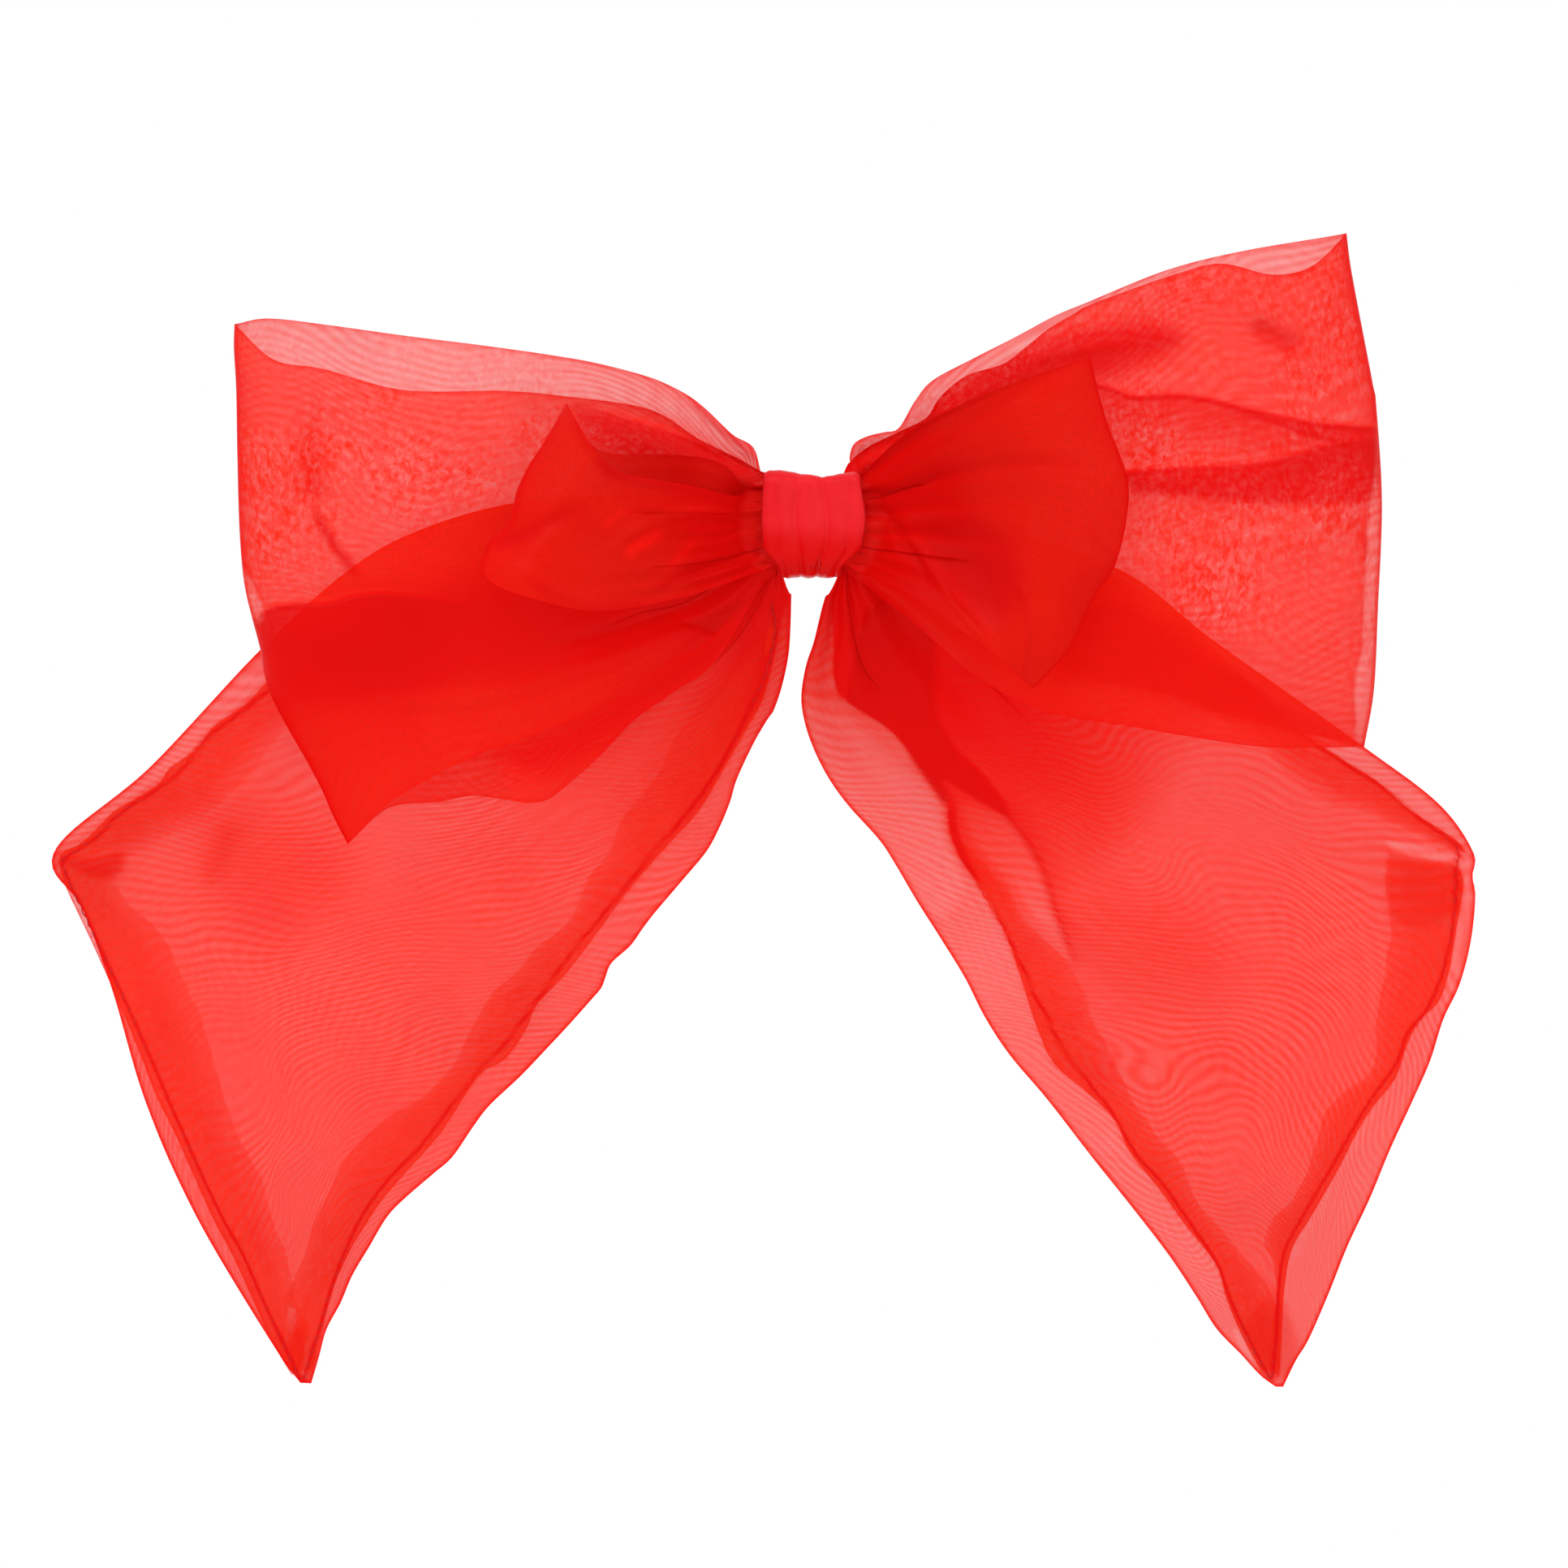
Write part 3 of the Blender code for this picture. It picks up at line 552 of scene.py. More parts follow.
# =====================================================================
# the loops
# =====================================================================
def fold_columns(us, pleats, fine=64, like=None):
    """Across-cloth positions with Z pleats.  Each pleat goes forward to c+h, back
    to c-h, and on.  Where h runs out the cloth lies flat and evenly spaced."""
    rows = len(us)
    pts, lay = [np.zeros(rows)], [np.zeros(rows)]
    counts = []
    prev_c = 0.0
    for p in pleats:
        c, h = linear(p["c"], us), np.maximum(linear(p["h"], us), 0.0)
        side = p.get("side", 1.0)
        lift = side * 0.34 * np.minimum(1.0, h / 0.008)
        h = h - 0.011 * (1 - np.minimum(1.0, h / 0.011))
        pts += [c + h, c - h]
        lay += [-lift, lift]
        mean = float(np.mean(c))
        counts += [max(6, int(fine * max(mean - prev_c, 0.02))), 4]
        prev_c = mean
    pts.append(np.ones(rows))
    lay.append(np.zeros(rows))
    counts.append(max(6, int(fine * max(1 - prev_c, 0.02))))
    if like is not None:
        counts = like
    V, L = [], []
    for k, n in enumerate(counts):
        t = np.linspace(0, 1, n, endpoint=False)
        a, b = pts[k][:, None], pts[k + 1][:, None]
        la, lb = lay[k][:, None], lay[k + 1][:, None]
        V.append(a + (b - a) * t)
        if k % 2:
            L.append(la + (lb - la) * t)
        else:
            rise = np.clip((t - 0.66) * 3, 0, 1) if k < len(counts) - 1 else 0 * t
            L.append(la * smoothstep(np.clip(1 - t * 3, 0, 1)) * (k > 0) + lb * smoothstep(rise))
    V.append(pts[-1][:, None])
    L.append(lay[-1][:, None])
    return np.clip(np.hstack(V), 0, 1), np.hstack(L), counts


def neck_pleats(n, h0, reach, seed, side=1.0, lo=0.1, hi=0.9):
    rng = np.random.RandomState(seed)
    out = []
    for k in range(n):
        c = lo + (hi - lo) * (k + 0.5) / n + rng.uniform(-0.03, 0.03)
        r = reach * rng.uniform(0.6, 1.25)
        h = h0 * rng.uniform(0.7, 1.2)
        out.append({"c": [(0, c), (1, c)], "h": [(0, h), (r * 0.5, h * 0.5), (r, 0), (1, 0)],
                    "side": side * (1 if k % 2 else -1)})
    return out


TAIL_ZONE_L = [(0.0, 6.4), (-14.2, 7.8), (-30.0, 5.3), (-51.1, 4.0), (-68.2, -0.7), (-81.0, -7.8), (-96.6, -22.0), (-95.2, -50.4), (-62.5, -57.5), (-28.4, -47.6), (0.0, -22.0)]
TAIL_ZONE_R = [(0.0, 6.4), (14.2, 5.0), (30.0, -0.4), (54.0, -7.8), (71.0, -20.6), (96.6, -38.8), (71.0, -44.7), (28.4, -36.2), (0.0, -22.0)]


def shade_of(x, z, level):
    """How far the light from behind is held back."""
    r = np.hypot(x, z)
    if level == 2:
        return 0.985 - 0.20 * np.clip((78.0 - r) / 50.0, 0, 1)
    painted_shade_mask = np.minimum(within(x, z, TAIL_ZONE_L, 3.0) + within(x, z, TAIL_ZONE_R, 3.0), 1.0)
    if level == 1:
        return 1.0 - 0.10 * painted_shade_mask * np.clip((100.0 - r) / 60.0, 0, 1) - 0.03 * np.exp(-(r / 30.0) ** 2)
    return 1.0 - 0.14 * np.clip((66.0 - r) / 50.0, 0, 1)


def loop_sheet(name, node, sign, front, back, end, neck, y_back, y_front, y_end, pleats_b, pleats_f,
               close_at=0.72, z_in=7.0, n_u=84, fine=64, marks_f=(), marks_b=(), seed=1, through=0.252,
               level=1, gather_reach=0.5, gather=0.6, moire=0.18, grain=0.60, full=1.0, fine_gain=1.0):
    """One continuous sheet: out of the knot along the back half, round the turned
    outer end, and back into the knot along the front half."""
    s = np.linspace(0, 1, n_u)
    us = 1 - (1 - s) ** 1.25
    end_line = Line(end)
    pieces = []
    counts = None
    for (low, high), prof, pleats, marks, k_seed in ((back, y_back, pleats_b, marks_b, seed + 40),
                                                     (front, y_front, pleats_f, marks_f, seed + 60)):
        V, L, counts = fold_columns(us, pleats, fine, counts)
        U = us[:, None]
        near = arc_point(NECK_R, neck[0], neck[1], V)
        far = end_line.at(V)
        lo = Line([tuple(arc_point(NECK_R, neck[0], neck[1], 0.0))] + list(low) + [tuple(end_line.at(0.0))]).at(us)[:, None]
        hi = Line([tuple(arc_point(NECK_R, neck[0], neck[1], 1.0))] + list(high) + [tuple(end_line.at(1.0))]).at(us)[:, None]
        c00, c01 = lo[0, 0], hi[0, 0]
        c10, c11 = lo[-1, 0], hi[-1, 0]
        u3, v3 = U[..., None], V[..., None]
        xz = ((1 - v3) * lo + v3 * hi + (1 - u3) * near + u3 * far
              - ((1 - u3) * (1 - v3) * c00 + u3 * (1 - v3) * c10 + (1 - u3) * v3 * c01 + u3 * v3 * c11))
        y = profile(prof, us)[:, None] + 0 * V
        shut = np.where(us > close_at, np.sqrt(np.clip(1 - ((us - close_at) / (1 - close_at)) ** 2, 0, 1)), 1.0)[:, None]
        free = smoothstep(us / 0.35)[:, None]
        y = y + wobble(xz[..., 0], xz[..., 1], 46.0, seed + 5) * 1.1 * free
        y = y + wobble(xz[..., 0], xz[..., 1], 17.0, seed + 9) * 0.30 * free
        dens, lift, shine, thin = marks_at(xz[..., 0], xz[..., 1], marks)
        # gathers: uneven ridges that run out of the knot and die away
        fan = (1 - smoothstep(us / gather_reach))[:, None]
        ridge = streaks(V, k_seed, 2.5, 8.5) * smoothstep(us / 0.05 + 0.35)[:, None]
        y = y + gather * fan * ridge
        # painted shade: darker where the drafted folds add cloth
        shine = shine - 0.085 * np.clip(dens, -0.5, 2.0)
        fine_fan = streaks(V, k_seed + 7, 4.0, 12.0)
        r = np.hypot(xz[..., 0], xz[..., 1])
        dens = dens + 0.16 * fan * (1 + fine_gain * fine_fan) + 0.8 * np.exp(-(r / 26.0) ** 2)
        if prof is y_front:
            dens = dens + (full - 1.0)
        # painted light and shade in streaks along the gathers near the knot
        shine = shine + fan * fine_gain * (0.035 * fine_fan + 0.03 * ridge)
        y = y_end + (y - y_end) * shut - lift * (0.25 + 0.75 * shut) + L * (0.35 + 0.65 * shut)
        pieces.append((xz, y, V, dens, shine, thin))
    # the stretch inside the band
    inside_run = np.linspace(0, 1, 7)[:-1]
    (xz_b, y_b, V_b, d_b, s_b, t_b), (xz_f, y_f, V_f, d_f, s_f, t_f) = pieces

    def tucked(xz0, y0, V0, dip):
        z_end = z_in * (2 * V0 - 1)
        x_end = np.full_like(z_end, sign * 4.5)
        out = []
        for t in inside_run:
            e = smoothstep(t)
            out.append(np.stack([x_end + (xz0[..., 0] - x_end) * t, y0 + dip * 6.75 * t * t * (1 - t),
                                 z_end + (xz0[..., 1] - z_end) * e], -1))
        return np.array(out)

    P = np.concatenate([tucked(xz_b[0], y_b[0], V_b[0], 0.5 if level == 2 else 0.06),
                        np.stack([xz_b[..., 0], y_b, xz_b[..., 1]], -1),
                        np.stack([xz_f[..., 0], y_f, xz_f[..., 1]], -1)[:-1][::-1],
                        tucked(xz_f[0], y_f[0], V_f[0], 0.9 if level == 2 else 0.34)[::-1]])

    def whole(b, f):
        return np.concatenate([np.repeat(b[:1], 6, 0), b, f[:-1][::-1], np.repeat(f[:1], 6, 0)])

    uv = cloth_uv(P)
    mat = organza(name + "_organza", through, moire, grain, seed=seed * 0.37, way=(-70.0, 330.0), swirl=120.0)
    obj = make_mesh(name, P.reshape(-1, 3), grid_faces(*P.shape[:2]), mat, uv.reshape(-1, 2))
    D = turned_away(obj).reshape(P.shape[:2]) + whole(d_b, d_f)
    D = D * whole(t_b, t_f)
    # folded edges of the strip and of the turned outer end
    cols = P.shape[1]
    rim = min(0.55, 0.5)
    run = np.linalg.norm(np.diff(P, axis=1), axis=-1)
    acc = np.concatenate([np.zeros((len(P), 1)), np.cumsum(run, 1)], 1)
    to_edge = np.minimum(acc, acc[:, -1:] - acc)
    D = D + 0.55 * np.exp(-(to_edge / rim) ** 2)
    u_full = whole(np.repeat(us[:, None], cols, 1), np.repeat(us[:, None], cols, 1))
    D = D + 0.5 * smoothstep((u_full - 0.990) / 0.01)
    put(obj, "dens", np.maximum(D, 0.3))
    # painted shade where the light from behind is held back, plus the marks' painted highlights and fold shade
    S = shade_of(P[..., 0], P[..., 2], level) + whole(s_b, s_f)
    # painted shade on the stretch tucked inside the band
    S = S - 0.09 * np.concatenate([1 - inside_run, np.zeros(len(P) - 12), (1 - inside_run)[::-1]])[:, None]
    put(obj, "shade", np.clip(S, 0.4, 1.04))
    front_half = whole(np.zeros_like(d_b), np.ones_like(d_f))
    packed = within(P[..., 0], P[..., 2], TAIL_ZONE_L, 5.0) + within(P[..., 0], P[..., 2], TAIL_ZONE_R, 5.0)
    calm = 0.40 if level == 2 else 1 - 0.72 * np.clip(packed, 0, 1)
    put(obj, "coarse", (0.30 + 1.05 * front_half) * calm)
    # painted shade: the cloth's warmth is lowered where tails lie behind the loop, and on the small loops
    put(obj, "warmth_and_shade", np.full(D.shape, 0.45) if level == 2 else 1 - 0.52 * np.clip(packed, 0, 1))
    put(obj, "fringe", 1.35 - 0.65 * front_half)
    obj.visible_shadow = False
    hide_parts(node)
    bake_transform(obj)
    return obj, P


BIG_BACK = ((0, -17.5), (.15, -18.3), (.5, -20.5), (.8, -22.5), (1.0, -24.0))
BIG_FRONT = ((0, -23.0), (.12, -26.5), (.3, -33.0), (.5, -38.0), (.72, -40.0), (1.0, -38.0))
SMALL_BACK = ((0, -24.2), (.2, -30.0), (.4, -36.5), (.6, -41.5), (.8, -43.5), (1.0, -44.0))
SMALL_FRONT = ((0, -29.2), (.15, -36.5), (.35, -45.5), (.6, -52.5), (.8, -54.0), (1.0, -52.0))

# drafted folds, in millimetres in the XZ plane
BIG_LEFT_FOLDS = [
    ("crease", [(-88.9, 22.0), (-88.1, 14.2), (-87.5, 7.1), (-86.2, 1.6)], 3.0, 0.55, -0.9, (0.6, 0.2)),
    ("crease", [(-86.9, 3.8), (-85.2, -0.4), (-82.5, -4.7), (-80.1, -7.8), (-77.4, -11.2)], 0.85, 1.0, 0.7, (0.25, 0.3)),
    ("step", [(-96.0, -16.1), (-93.0, -14.9), (-88.6, -14.5), (-84.5, -14.6), (-81.7, -13.8), (-78.1, -13.1), (-73.2, -12.9), (-65.3, -13.9), (-56.8, -15.2)],
     -1, 19.0, 1.15, 1.2, 1.2, (0.0, 0.40)),
    ("patch", [(-94.5, -20.6), (-79.5, -15.2), (-62.5, -9.9), (-42.6, -7.8), (-14.2, -6.4), (-9.9, -10.7), (-14.2, -19.2), (-28.4, -24.9), (-42.6, -28.4), (-62.5, -29.1), (-78.1, -29.1), (-90.9, -27.7)],
     7.5, 1.1, 0.5),
    ("patch", [(-22.4, -17.5), (-17.0, -15.6), (-9.9, -12.9), (-7.4, -10.9), (-8.5, -16.3), (-12.1, -20.3), (-17.0, -19.5)], 0.8, 0.9, -0.7),
    ("crease", [(-60.4, -39.8), (-55.4, -42.6), (-49.7, -44.3), (-42.6, -44.5)], 1.5, 0.9, 0.5, (0.2, 0.4)),
    ("crease", [(-82.4, -29.4), (-71.0, -31.1), (-56.8, -30.3), (-42.6, -26.3), (-28.4, -20.6), (-14.2, -13.8)], 1.6, -0.22, 0.5, (0.3, 0.2)),
    ("crease", [(-62.5, -36.9), (-51.1, -33.4), (-39.8, -29.1), (-28.4, -23.7), (-15.6, -17.0)], 1.5, -0.25, 0.5, (0.3, 0.2)),
    ("crease", [(-48.3, -22.0), (-34.1, -18.5), (-21.3, -13.5), (-9.9, -6.4)], 1.3, 0.35, -0.5, (0.3, 0.1)),
    ("step", [(-41.9, 21.4), (-34.8, 18.8), (-28.4, 16.8), (-21.3, 14.5), (-16.3, 12.1)], -1, 4.5, 0.40, 0.4, 0.25, (0.4, 0.0)),
    ("patch", [(-41.9, 20.9), (-34.1, 18.5), (-28.4, 16.8), (-21.3, 14.5), (-15.6, 11.8), (-9.9, 7.8), (-9.2, 4.3), (-19.9, 5.7), (-28.4, 6.7), (-36.9, 9.9), (-40.5, 16.3)], 1.6, 0.75, 0.2),
    ("thin", [(-100.9, -6.4), (-99.3, -7.8), (-97.4, -10.9), (-95.6, -15.2), (-96.3, -17.8), (-100.9, -17.8)], 0.35, 0.55),
    ("crease", [(-99.6, -6.4), (-98.9, -8.1), (-97.2, -11.2), (-95.6, -15.5)], 0.45, 0.45, 0.2, (0.1, 0.0)),
    ("shine", [(-56.8, -26.3), (-42.6, -23.4), (-28.4, -18.5), (-17.0, -12.8)], 3.0, 0.03, (0.3, 0.2)),
]
BIG_LEFT_BACK_FOLDS = [
    ("patch", [(-55.4, -39.8), (-44.0, -35.2), (-29.8, -27.4), (-18.2, -20.6), (-9.9, -14.2), (-9.9, -19.2), (-17.0, -24.6), (-24.1, -29.8), (-31.2, -35.1), (-36.9, -39.8), (-44.0, -43.3), (-51.1, -43.3)], 3.5, 0.95, 0.0),
    ("shine", [(-56.8, -44.7), (-48.3, -41.9), (-39.8, -36.9), (-28.4, -29.8), (-17.0, -21.3), (-8.5, -14.9)], 6.5, 0.12, (0.1, 0.05)),
    ("thin", [(-100.9, -6.4), (-99.3, -7.8), (-97.4, -10.9), (-95.6, -15.2), (-96.3, -17.8), (-100.9, -17.8)], 0.35, 0.55),
    ("crease", [(-23.4, 24.1), (-18.5, 19.2), (-13.5, 14.9), (-10.7, 12.1)], 0.6, 0.35, 0.3, (0.4, 0.0)),
]
BIG_RIGHT_FOLDS = [
    ("patch", [(8.5, 10.9), (15.6, 14.9), (23.4, 20.2), (29.8, 24.9), (35.5, 28.3), (42.6, 31.2), (49.7, 33.1), (57.5, 33.7), (63.2, 32.2), (58.2, 29.4), (50.4, 26.0), (40.5, 21.7), (29.1, 14.2), (17.8, 7.5), (10.7, 6.4)], 4.2, 1.6, 0.9),
    ("crease", [(35.5, 26.8), (42.6, 29.4), (49.7, 30.4), (58.2, 31.4)], 1.2, 0.35, 0.4, (0.3, 0.4)),
    ("crease", [(76.4, 35.4), (78.8, 33.1), (82.4, 31.5), (87.4, 30.4)], 1.7, 0.65, -1.4, (0.25, 0.35)),
    ("crease", [(73.9, 38.8), (78.1, 36.9), (82.4, 37.1)], 3.0, 0.10, 0.6, (0.3, 0.3)),
    ("step", [(48.3, 24.0), (52.6, 22.9), (56.1, 21.6), (62.5, 21.9), (68.2, 21.3), (73.9, 19.9), (81.0, 18.2), (88.1, 16.9), (98.3, 16.3)],
     -1, 6.5, 0.62, 0.9, 1.3, (0.0, 0.0)),
    ("crease", [(69.6, 20.6), (79.5, 17.8), (85.2, 15.9), (92.3, 13.9), (98.0, 14.5)], 0.5, 0.45, 0.2, (0.3, 0.0)),
    ("patch", [(85.2, 16.8), (98.0, 16.2), (98.0, 14.5), (92.3, 13.9), (85.2, 15.9), (76.7, 18.8)], 0.5, 0.35, 0.1),
    ("step", [(53.7, 8.4), (59.7, 8.8), (68.2, 9.2), (76.7, 9.7), (82.4, 10.7), (86.6, 12.1), (90.9, 13.2), (98.4, 14.2)],
     -1, 5.0, 0.35, 1.0, 0.9, (0.0, 0.0)),
    ("patch", [(55.4, 8.7), (68.2, 9.1), (76.7, 9.5), (86.6, 11.9), (98.4, 14.1), (98.4, 4.7), (90.9, 3.3), (79.5, 3.3), (65.3, 4.7), (56.1, 5.8)],
     1.4, 0.85, 0.3),
    ("thin", [(98.4, 17.8), (98.4, 12.1), (97.9, 7.8), (97.4, 3.6), (96.9, -0.7), (96.6, -6.4), (96.3, -10.7), (96.2, -16.3), (95.9, -22.0), (94.9, -26.3), (94.6, -30.5), (94.9, -34.8), (95.0, -38.6), (98.0, -40.5), (103.7, -36.2), (103.7, 17.8)], 0.30, 0.58),
    ("crease", [(98.4, 16.3), (97.9, 7.8), (97.4, 3.6), (96.9, -0.7), (96.6, -6.4), (96.3, -10.7), (96.2, -16.3), (95.9, -22.0), (94.9, -26.3), (94.6, -30.5), (94.9, -34.8), (95.0, -38.6)], 0.42, 0.55, 0.2, (0.1, 0.0)),
    ("crease", [(93.0, 2.4), (94.9, -0.4), (96.4, -3.8), (96.6, -7.8)], 0.9, 0.30, 0.3, (0.2, 0.2)),
    ("crease", [(12.8, 2.8), (17.8, -1.4), (22.7, -9.2), (27.7, -17.0), (33.4, -24.1)], 0.9, -0.22, 0.6, (0.15, 0.2)),
    ("patch", [(42.6, -27.4), (56.8, -29.1), (71.0, -33.4), (88.1, -37.2), (92.3, -36.9), (79.5, -29.1), (65.3, -20.6), (54.0, -13.5), (45.5, -16.3)], 2.0, 0.55, 0.2),
    ("shine", [(17.0, 7.8), (31.2, 14.9), (46.9, 20.6)], 5.0, 0.03, (0.2, 0.2)),
]
BIG_RIGHT_BACK_FOLDS = [
    ("thin", [(98.4, 17.8), (98.4, 12.1), (97.9, 7.8), (97.4, 3.6), (96.9, -0.7), (96.6, -6.4), (96.3, -10.7), (96.2, -16.3), (95.9, -22.0), (94.9, -26.3), (94.6, -30.5), (94.9, -34.8), (95.0, -38.6), (98.0, -40.5), (103.7, -36.2), (103.7, 17.8)], 0.30, 0.58),
]
SMALL_LEFT_FOLDS = [
    ("crease", [(-56.8, -3.8), (-52.6, -3.3), (-47.6, -1.4), (-42.6, 1.0), (-38.4, 3.3)], 1.5, 0.8, -0.7, (0.15, 0.3)),
    ("crease", [(-41.9, 19.9), (-40.3, 16.3), (-38.4, 12.8), (-34.1, 8.5), (-28.4, 6.8), (-21.3, 6.0), (-13.5, 4.5)], 0.9, 0.35, 0.5, (0.1, 0.1)),
    ("patch", [(-37.6, 9.9), (-28.4, 10.7), (-18.5, 10.1), (-9.2, 6.4), (-8.5, 3.8), (-19.9, 6.4), (-29.1, 7.5), (-35.5, 7.0)], 1.2, 0.7, -0.3),
    ("crease", [(-51.1, -8.5), (-44.0, -12.8), (-35.5, -14.9), (-25.6, -14.2)], 1.2, 0.5, 0.3, (0.2, 0.3)),
    ("crease", [(-28.4, -12.8), (-19.9, -8.5), (-9.9, -3.6)], 1.0, 0.5, -0.6, (0.2, 0.0)),
    ("crease", [(-36.9, -6.4), (-28.4, -0.7), (-18.5, 1.8), (-8.5, 2.1)], 1.2, -0.15, 0.7, (0.3, 0.1)),
    ("shine", [(-33.4, -6.7), (-29.1, -3.6), (-24.9, -1.0)], 1.1, 0.26, (0.3, 0.3)),
    ("shine", [(-26.3, -9.9), (-22.0, -5.0), (-19.2, -2.1)], 0.8, 0.12, (0.3, 0.3)),
    ("shine", [(-36.9, -1.4), (-34.1, 0.7), (-31.2, 2.1)], 0.7, 0.12, (0.3, 0.3)),
    ("shine", [(-39.8, -0.7), (-28.4, 3.6), (-14.2, 2.8)], 4.0, 0.07, (0.2, 0.2)),
]
SMALL_RIGHT_FOLDS = [
    ("patch", [(19.9, 0.7), (26.3, -0.7), (33.4, -5.3), (35.8, -10.9), (32.4, -17.0), (27.0, -13.8), (21.3, -6.4)], 6.0, 1.3, -0.8),
    ("crease", [(9.7, 6.0), (12.8, 5.3), (17.0, 5.8), (21.3, 7.5), (26.3, 9.2)], 0.8, 0.9, -0.6, (0.0, 0.4)),
    ("crease", [(9.9, 4.7), (14.2, 0.7), (17.3, -3.8), (19.2, -7.8), (21.3, -12.8)], 0.8, 0.9, -0.6, (0.0, 0.4)),
    ("crease", [(10.7, 6.4), (14.9, 7.8), (19.9, 10.4), (25.6, 13.8)], 1.0, -0.3, 0.6, (0.0, 0.4)),
    ("crease", [(11.1, 2.8), (13.9, -2.8), (15.3, -7.8)], 0.8, -0.3, 0.6, (0.0, 0.3)),
    ("patch", [(46.9, -7.8), (52.6, -7.8), (49.0, -12.8), (46.2, -17.8), (42.6, -20.6), (44.0, -12.1)], 1.6, 0.35, 0.0),
    ("crease", [(35.5, -9.9), (37.2, -14.9), (37.2, -22.0), (36.4, -29.1)], 0.9, 0.30, 0.5, (0.2, 0.1)),
    ("crease", [(14.2, 0.0), (19.2, -5.7), (24.1, -13.5), (32.0, -22.7)], 0.7, -0.25, 0.6, (0.1, 0.2)),
    ("crease", [(17.0, 6.4), (28.4, 9.2), (41.2, 9.9), (54.0, 7.8)], 1.6, 0.35, -0.6, (0.2, 0.3)),
    ("crease", [(18.5, 10.7), (31.2, 19.2), (46.9, 27.7)], 1.5, 0.35, -0.5, (0.2, 0.2)),
    ("crease", [(45.5, 0.7), (49.7, -3.6), (52.3, -6.7)], 1.0, 0.35, 0.4, (0.3, 0.0)),
    ("shine", [(15.6, 0.7), (21.3, -6.4), (27.0, -14.2), (33.4, -22.0)], 0.8, 0.05, (0.1, 0.2)),
    ("shine", [(36.2, -13.5), (41.2, -16.3), (40.5, -23.4)], 3.0, 0.04, (0.2, 0.2)),
]

big_left, P_bl = loop_sheet(
    "big_loop_left_sheet", "big_loop_left", -1,
    front=([(-18.2, -20.6), (-24.1, -23.7), (-29.8, -27.4), (-36.9, -31.7), (-44.0, -35.2), (-51.1, -37.9), (-59.7, -41.2), (-68.2, -45.5), (-75.0, -49.9)],
           [(-13.0, 11.5), (-19.9, 14.9), (-28.4, 19.9), (-42.6, 22.0), (-54.0, 22.9),
            (-71.0, 23.0), (-85.2, 26.7), (-93.8, 28.4)]),
    back=([(-17.0, -24.1), (-24.1, -29.4), (-31.2, -34.5), (-36.9, -40.5), (-42.6, -45.6), (-46.2, -48.3), (-49.7, -48.9), (-54.0, -48.3), (-59.7, -47.7), (-65.3, -48.7), (-72.4, -49.3), (-76.0, -51.1)],
          [(-10.2, 13.5), (-13.5, 15.5), (-15.5, 17.3), (-18.5, 20.2), (-21.6, 22.6), (-25.6, 24.7), (-29.3, 26.1), (-36.9, 28.1), (-44.5, 29.5), (-58.9, 31.5), (-71.0, 33.0), (-85.2, 34.9), (-95.2, 35.9)]),
    end=[(-81.1, -56.1), (-83.7, -51.1), (-85.5, -46.9), (-88.1, -41.9), (-91.2, -36.5), (-93.8, -31.7), (-95.5, -27.1), (-96.4, -22.0), (-97.7, -17.0), (-98.9, -12.1), (-99.6, -7.1), (-100.1, 0.7), (-100.4, 12.1), (-100.6, 23.4), (-101.0, 30.5), (-100.9, 34.8)],
    neck=(230, 134), y_back=BIG_BACK, y_front=BIG_FRONT, y_end=-30.0,
    pleats_b=neck_pleats(3, 0.035, 0.28, 11), pleats_f=neck_pleats(3, 0.040, 0.32, 12),
    n_u=165, fine=135, marks_f=BIG_LEFT_FOLDS, marks_b=BIG_LEFT_BACK_FOLDS, seed=1)

big_right, P_br = loop_sheet(
    "big_loop_right_sheet", "big_loop_right", 1,
    front=([(18.0, -17.5), (28.4, -26.6), (36.9, -31.4), (42.6, -33.5), (56.8, -35.8), (71.0, -38.2), (79.5, -39.2), (88.1, -39.3)],
           [(8.0, 12.1), (10.7, 13.9), (15.6, 16.2), (20.2, 18.6), (22.4, 22.0), (27.0, 25.7), (33.4, 27.7), (37.6, 30.8), (41.2, 33.7), (45.5, 36.2), (49.0, 38.1), (62.5, 42.9), (71.0, 45.0), (79.5, 43.2), (85.2, 43.8), (89.2, 46.2)]),
    back=([(18.0, -16.3), (28.4, -22.7), (41.2, -26.6), (49.7, -27.4), (56.8, -28.7), (63.9, -30.5), (71.0, -33.0), (79.5, -35.2), (88.1, -37.1)],
          [(6.7, 12.1), (7.5, 14.2), (9.9, 15.5), (12.8, 16.2), (15.3, 16.9), (18.2, 21.7), (21.3, 25.3), (28.4, 29.1), (35.5, 32.7), (42.6, 36.5), (48.3, 38.9), (62.5, 44.6), (76.0, 47.9)]),
    end=[(96.6, -39.1), (98.3, -29.1), (99.0, -14.9), (99.7, 3.6), (98.7, 20.6),
         (98.0, 24.9), (94.5, 43.3), (93.5, 50.7)],
    neck=(-50, 58), y_back=BIG_BACK, y_front=BIG_FRONT, y_end=-30.0,
    pleats_b=neck_pleats(3, 0.035, 0.28, 21), pleats_f=neck_pleats(3, 0.040, 0.34, 22),
    n_u=165, fine=135, marks_f=BIG_RIGHT_FOLDS, marks_b=BIG_RIGHT_BACK_FOLDS, seed=2, full=1.17)

